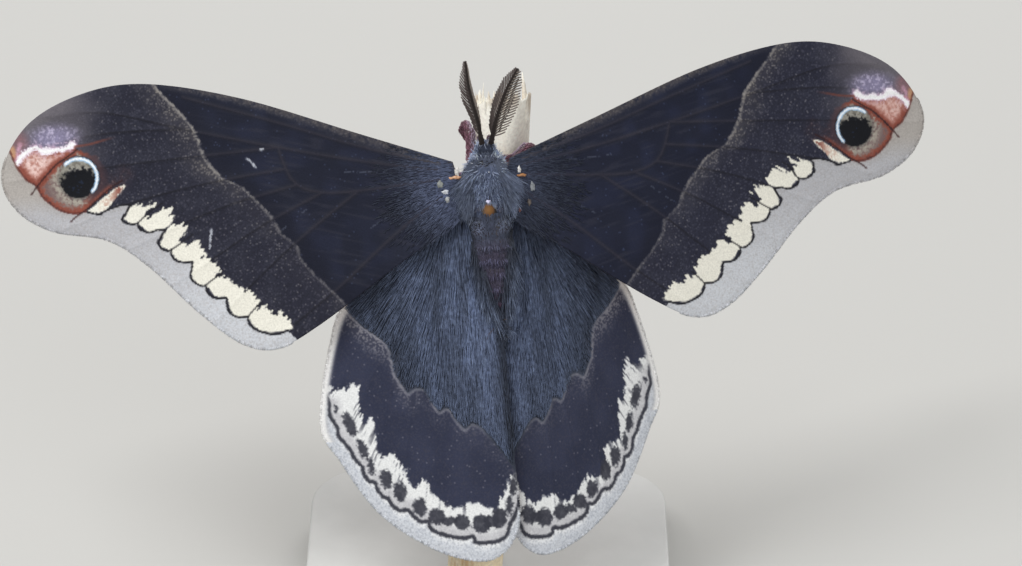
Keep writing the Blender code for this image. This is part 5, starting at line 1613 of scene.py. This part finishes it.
def leg(name, route, number):
    """A leg of shell with two claws, under rosy and maroon scales."""
    line = smooth_line(route, 0.12)
    share = np.linspace(0, 1, len(line))
    girth = np.interp(share, LEG_MARKS, LEG_RADII)
    parts = [tubes(line[None], girth[None], 14)]
    foot = unit((line[-1] - line[-4])[None])[0]
    inward = unit(np.array([[STICK_X - line[-1][0], 0.0, -STICK_DEPTH - line[-1][2]]]))[0]
    for sign in (-1, 1):
        t = np.linspace(0, 1, len(CLAW_RADII))[:, None]
        claw = line[-1] + foot * CLAW_LENGTH * t * 0.6 + inward * CLAW_LENGTH * t * t
        claw = claw + np.array([0, sign * CLAW_SPREAD, 0]) * t
        parts.append(tubes(claw[None], CLAW_RADII[None], 6))
    points, faces = joined(parts)
    shades = plain("#5A3A40", len(points))
    cover(shades, "#2A1C1C", (np.arange(len(points)) >= len(parts[0][0])) * 1.0)
    piece(name, points, faces, shell, shades, stands_for=(name,))
    count = thinned(LEG_TUFTS)
    t = draw.random(count) * 0.97
    root = at_share(line, t)
    ahead = unit(at_share(line, t + 0.03) - root + 1e-6)
    out = unit(draw.normal(0, 1, (count, 3)))
    out = unit(out - ahead * (out * ahead).sum(1, keepdims=True))
    lines = hair_lines(root + out * np.interp(t, share, girth)[:, None], ahead, out,
                       draw.uniform(0.25, 0.6, count) * (1 - 0.4 * t), draw.uniform(0.2, 0.5, count),
                       0.2, 0.0, 0.06)
    rosy = (ease(np.abs(t - 0.45), 0.25, 0.1) * ease(out[:, 0] * np.sign(route[0][0]), 0.3, -0.3))[:, None]
    tips = tinted(count, "#92596A", "#C490A0") * (1 - rosy) + tinted(count, "#C0A0B4", "#E6D2DE") * rosy
    tufts(f"{name}_scales", lines, out, draw.uniform(0.08, 0.13, count), tips * 0.6, tips,
          np.c_[0.02 + 0.15 * number + 0.1 * draw.random(count), 0.05 + 0.9 * t], fur_finish)


for number, (name, route) in enumerate(LEGS.items()):
    leg(name, route, number)

# %% [markdown]
# ## The stick
#
# It is a dead shoot with its bark peeled off: pale, dry wood, silky along the grain, greyed in streaks,
# with a torn top whose fibres stand up as splinters. An image of wood would show a seam where its edges
# meet. So the grain is worked out at each point, and varies fast round the stick and slowly along it. The
# fibres between the streaks are finer, and are left to the finish.

# %% The stick's form and grain
STICK_RADIUS = 2.6
STICK_LEAN = math.radians(3.5)
STICK_FOOT, STICK_TOP = -38.0, 8.4
STICK_SIDES, STICK_ROWS = 120, 150
HOLLOW = ((0.8, 0.5), (0.55, 0.9), (0.2, 0.6))  # the torn top's inner rings: size and how far they sink
GRAIN_WIDTH = 0.3
FIBRE_WIDTH, FIBRE_STRETCH = 0.22, 0.06


def stick_place(y, angle, grow=0.0):
    """A place on the stick's side, in the slope's frame."""
    share = (y - STICK_FOOT) / (STICK_TOP - STICK_FOOT)
    knot = 0.12 * np.sin(2 * angle + 3 * share) + 0.1 * np.sin(5 * angle + 9 * share)
    radius = STICK_RADIUS + knot + grow
    x = STICK_X + y * math.tan(STICK_LEAN) + radius * np.cos(angle)
    return np.stack([x, y, -STICK_DEPTH + radius * np.sin(angle)], -1)


def stick_grain(y, angle, seed):
    """Fast round the stick and slow along it, from 0 to 1."""
    round_it = np.c_[np.cos(angle), np.sin(angle)] * STICK_RADIUS
    across = round_it @ [1.0, 1.3] + 0.25 * np.sin(y * 0.35 + seed)
    return blotches(np.c_[across, y / 12 + round_it[:, 0] * 0.7], GRAIN_WIDTH, seed)


# %% The wood's finish and colours
def wood_finish():
    """Peeled wood: fine fibres along the stick, some matt and some rubbed to a soft satin."""
    made, tree, shader = material("peeled_shoot_wood", Roughness=0.6, Specular_IOR_Level=0.3)
    where = node(tree, "TexCoord").outputs["Object"]
    drawn_out = {"Rotation": (-SLOPE, 0, 0), "Scale": (1, FIBRE_STRETCH, 1)}
    way = node(tree, "Mapping", drawn_out, Vector=where).outputs["Vector"]
    fibres = node(tree, "TexNoise", {"Scale": per(FIBRE_WIDTH), "Detail": 4.0}, Vector=way).outputs["Fac"]
    painted(tree, shader, fibres, 0.86, 1.1)
    uneven(tree, shader, fibres, (0.45, 0.8), 0.5, 0.06)
    return made


def wood_colours(y, angle):
    """Pale wood, streaked along the grain, with painted sunlight that whitens its top."""
    coarse, fine = stick_grain(y, angle, 3), stick_grain(y * 2, angle, 5)
    colours = plain("#F0E0BE", len(y))
    cover(colours, "#CFA878", ease(coarse, 0.45, 0.9) * 0.65)
    cover(colours, "#F3E9D2", ease(fine, 0.55, 0.95) * 0.7)
    # Painted light: the sunlit top, nearly white.
    cover(colours, "#FFFDF3", ease(y, 0, 4) * 0.9)
    cover(colours, "#A08A72", ease(blotches(np.c_[np.sin(angle) * 3, y / 3], 1.3, 9), 0.62, 0.9) * 0.5)
    cover(colours, "#8A6A48", ease(coarse * fine, 0.62, 0.85) * 0.6)
    return colours


wood = wood_finish()
print("finish:", wood.name)

# %% The stick
stick_y = np.linspace(STICK_FOOT, STICK_TOP, STICK_ROWS)
stick_angle = np.linspace(0, 2 * np.pi, STICK_SIDES + 1)[:-1]
yy, aa = (a.ravel() for a in np.meshgrid(stick_y, stick_angle, indexing="ij"))
groove = 0.07 * (stick_grain(yy, aa, 3) - 0.5) - 0.05 * ease(stick_grain(yy, aa, 5), 0.7, 0.95)
torn = 1.5 * (blotches(np.c_[np.cos(aa), np.sin(aa)] * 3, 0.9, 21) - 0.6)
yy = yy + torn * ease(yy, STICK_TOP - 3, STICK_TOP)
side_points = stick_place(yy, aa, groove)
top = side_points[-STICK_SIDES:]
top_middle = top.mean(0)
rings = [top_middle + (top - top_middle) * scale + [0, -fall, 0] for scale, fall in HOLLOW]
foot_ring = side_points[:STICK_SIDES]
foot_middle = foot_ring.mean(0)
foot_inner = foot_middle + (foot_ring - foot_middle) * 0.5
points = np.vstack([side_points, *rings, foot_inner, [rings[-1].mean(0)], [foot_middle]])
k = np.arange(STICK_SIDES)
n = (k + 1) % STICK_SIDES
ring_count = STICK_ROWS + len(HOLLOW)
top_ring, inner_ring = (ring_count - 1) * STICK_SIDES, ring_count * STICK_SIDES
walls = [ring_walls(ring_count, STICK_SIDES), np.c_[top_ring + k, top_ring + n, 0 * k + len(points) - 2]]
walls += [np.c_[n, k, inner_ring + k], np.c_[n, inner_ring + k, inner_ring + n]]
walls.append(np.c_[inner_ring + n, inner_ring + k, 0 * k + len(points) - 1])
all_angle = np.concatenate([aa, np.tile(stick_angle, len(HOLLOW) + 1), [0, 0]])
colours = wood_colours(np.concatenate([yy, points[len(yy) :, 1]]), all_angle)
cover(colours, "#D9B98C", (np.arange(len(points)) >= len(yy)) * 0.6)
piece("stick", points, np.vstack(walls)[:, ::-1], wood, colours, stands_for=("stick",),
      matrix=SLOPE_FRAME)

# %% Splinters of the torn top
SPLINTERS = 150
SPLINTER_SIDES = 5
SPLINTER_FOOT = (-2.6, -1.2)  # from the stick's top
SPLINTER_INSET = (-0.75, -0.18)  # from its side
SPLINTER_LENGTH = (1.2, 2.7)
SPLINTER_RADIUS = (0.08, 0.24)
SPLINTER_TAPER = [0.2, 1.0, 0.85, 0.5, 0.08]
SLIVER = [(3.62, 4.6, -6.1), (3.7, 6.4, -5.9), (3.62, 8.2, -5.9), (3.48, 9.7, -6.0), (3.36, 10.9, -6.1)]
SLIVER_RADII = [0.05, 0.36, 0.3, 0.2, 0.04]

angle = draw.uniform(0, 2 * np.pi, SPLINTERS)
foot = draw.uniform(*SPLINTER_FOOT, SPLINTERS) + STICK_TOP
root = stick_place(foot, angle, draw.uniform(*SPLINTER_INSET, SPLINTERS))
tall = draw.uniform(*SPLINTER_LENGTH, SPLINTERS) * (1 + 0.35 * (draw.random(SPLINTERS) > 0.93))
tall = tall * (1 - 0.4 * (np.cos(angle) > 0.6))
lean = np.c_[np.cos(angle) * 0.1, np.ones(SPLINTERS), np.sin(angle) * 0.1]
lean = unit(lean + draw.normal(0, 0.05, (SPLINTERS, 3)))
share = np.linspace(0, 1, len(SPLINTER_TAPER))[None, :, None]
lines = np.vstack([root[:, None] + lean[:, None] * share * tall[:, None, None], [SLIVER]])
thick = np.vstack([draw.uniform(*SPLINTER_RADIUS, (SPLINTERS, 1)) * SPLINTER_TAPER, SLIVER_RADII])
splinter_points, splinter_faces = tubes(lines, thick, SPLINTER_SIDES)
splinter_angle = np.repeat(np.append(angle, 0.2), len(SPLINTER_TAPER) * SPLINTER_SIDES)
# The splinters stand at the top, so through wood_colours they carry its painted sunlight.
splinter_colours = wood_colours(splinter_points[:, 1], splinter_angle)
piece("stick_splinters", splinter_points, splinter_faces, wood, splinter_colours, matrix=SLOPE_FRAME)

# %% [markdown]
# ## The display stand
#
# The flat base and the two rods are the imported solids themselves. Their shapes are plain and right as
# they are, so they only get a finish: moulded plastic in pale grey, with a fine grit that keeps it satin.
# Real grit would not show, so it is drawn a quarter of a millimetre wide.


# %% The stand's finish
MIST_WIDTH = 6.0
GRIT_WIDTH = 0.25


def stand_finish():
    """Moulded plastic with a satin skin: a fine grit, and a tone that drifts a little across it."""
    made, tree, shader = material("satin_grey_plastic", Roughness=0.4, IOR=1.46)
    where = node(tree, "TexCoord").outputs["Object"]
    mist = node(tree, "TexNoise", {"Scale": per(MIST_WIDTH), "Detail": 4.0}, Vector=where).outputs["Fac"]
    grit = node(tree, "TexNoise", {"Scale": per(GRIT_WIDTH), "Detail": 2.0}, Vector=where).outputs["Fac"]
    tone = ramp(tree, mist, [(0.3, rgba("#C6C6C3")), (0.7, rgba("#D0D0CD"))])
    tree.links.new(tone.outputs["Color"], shader.inputs["Base Color"])
    uneven(tree, shader, grit, (0.32, 0.5), 0.25, 0.03)
    return made


satin = stand_finish()
for name in ("stand_base", "stand_rod_front", "stand_rod_back"):
    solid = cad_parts[name]
    solid.data.materials.clear()
    solid.data.materials.append(satin)
print("stand in", satin.name)
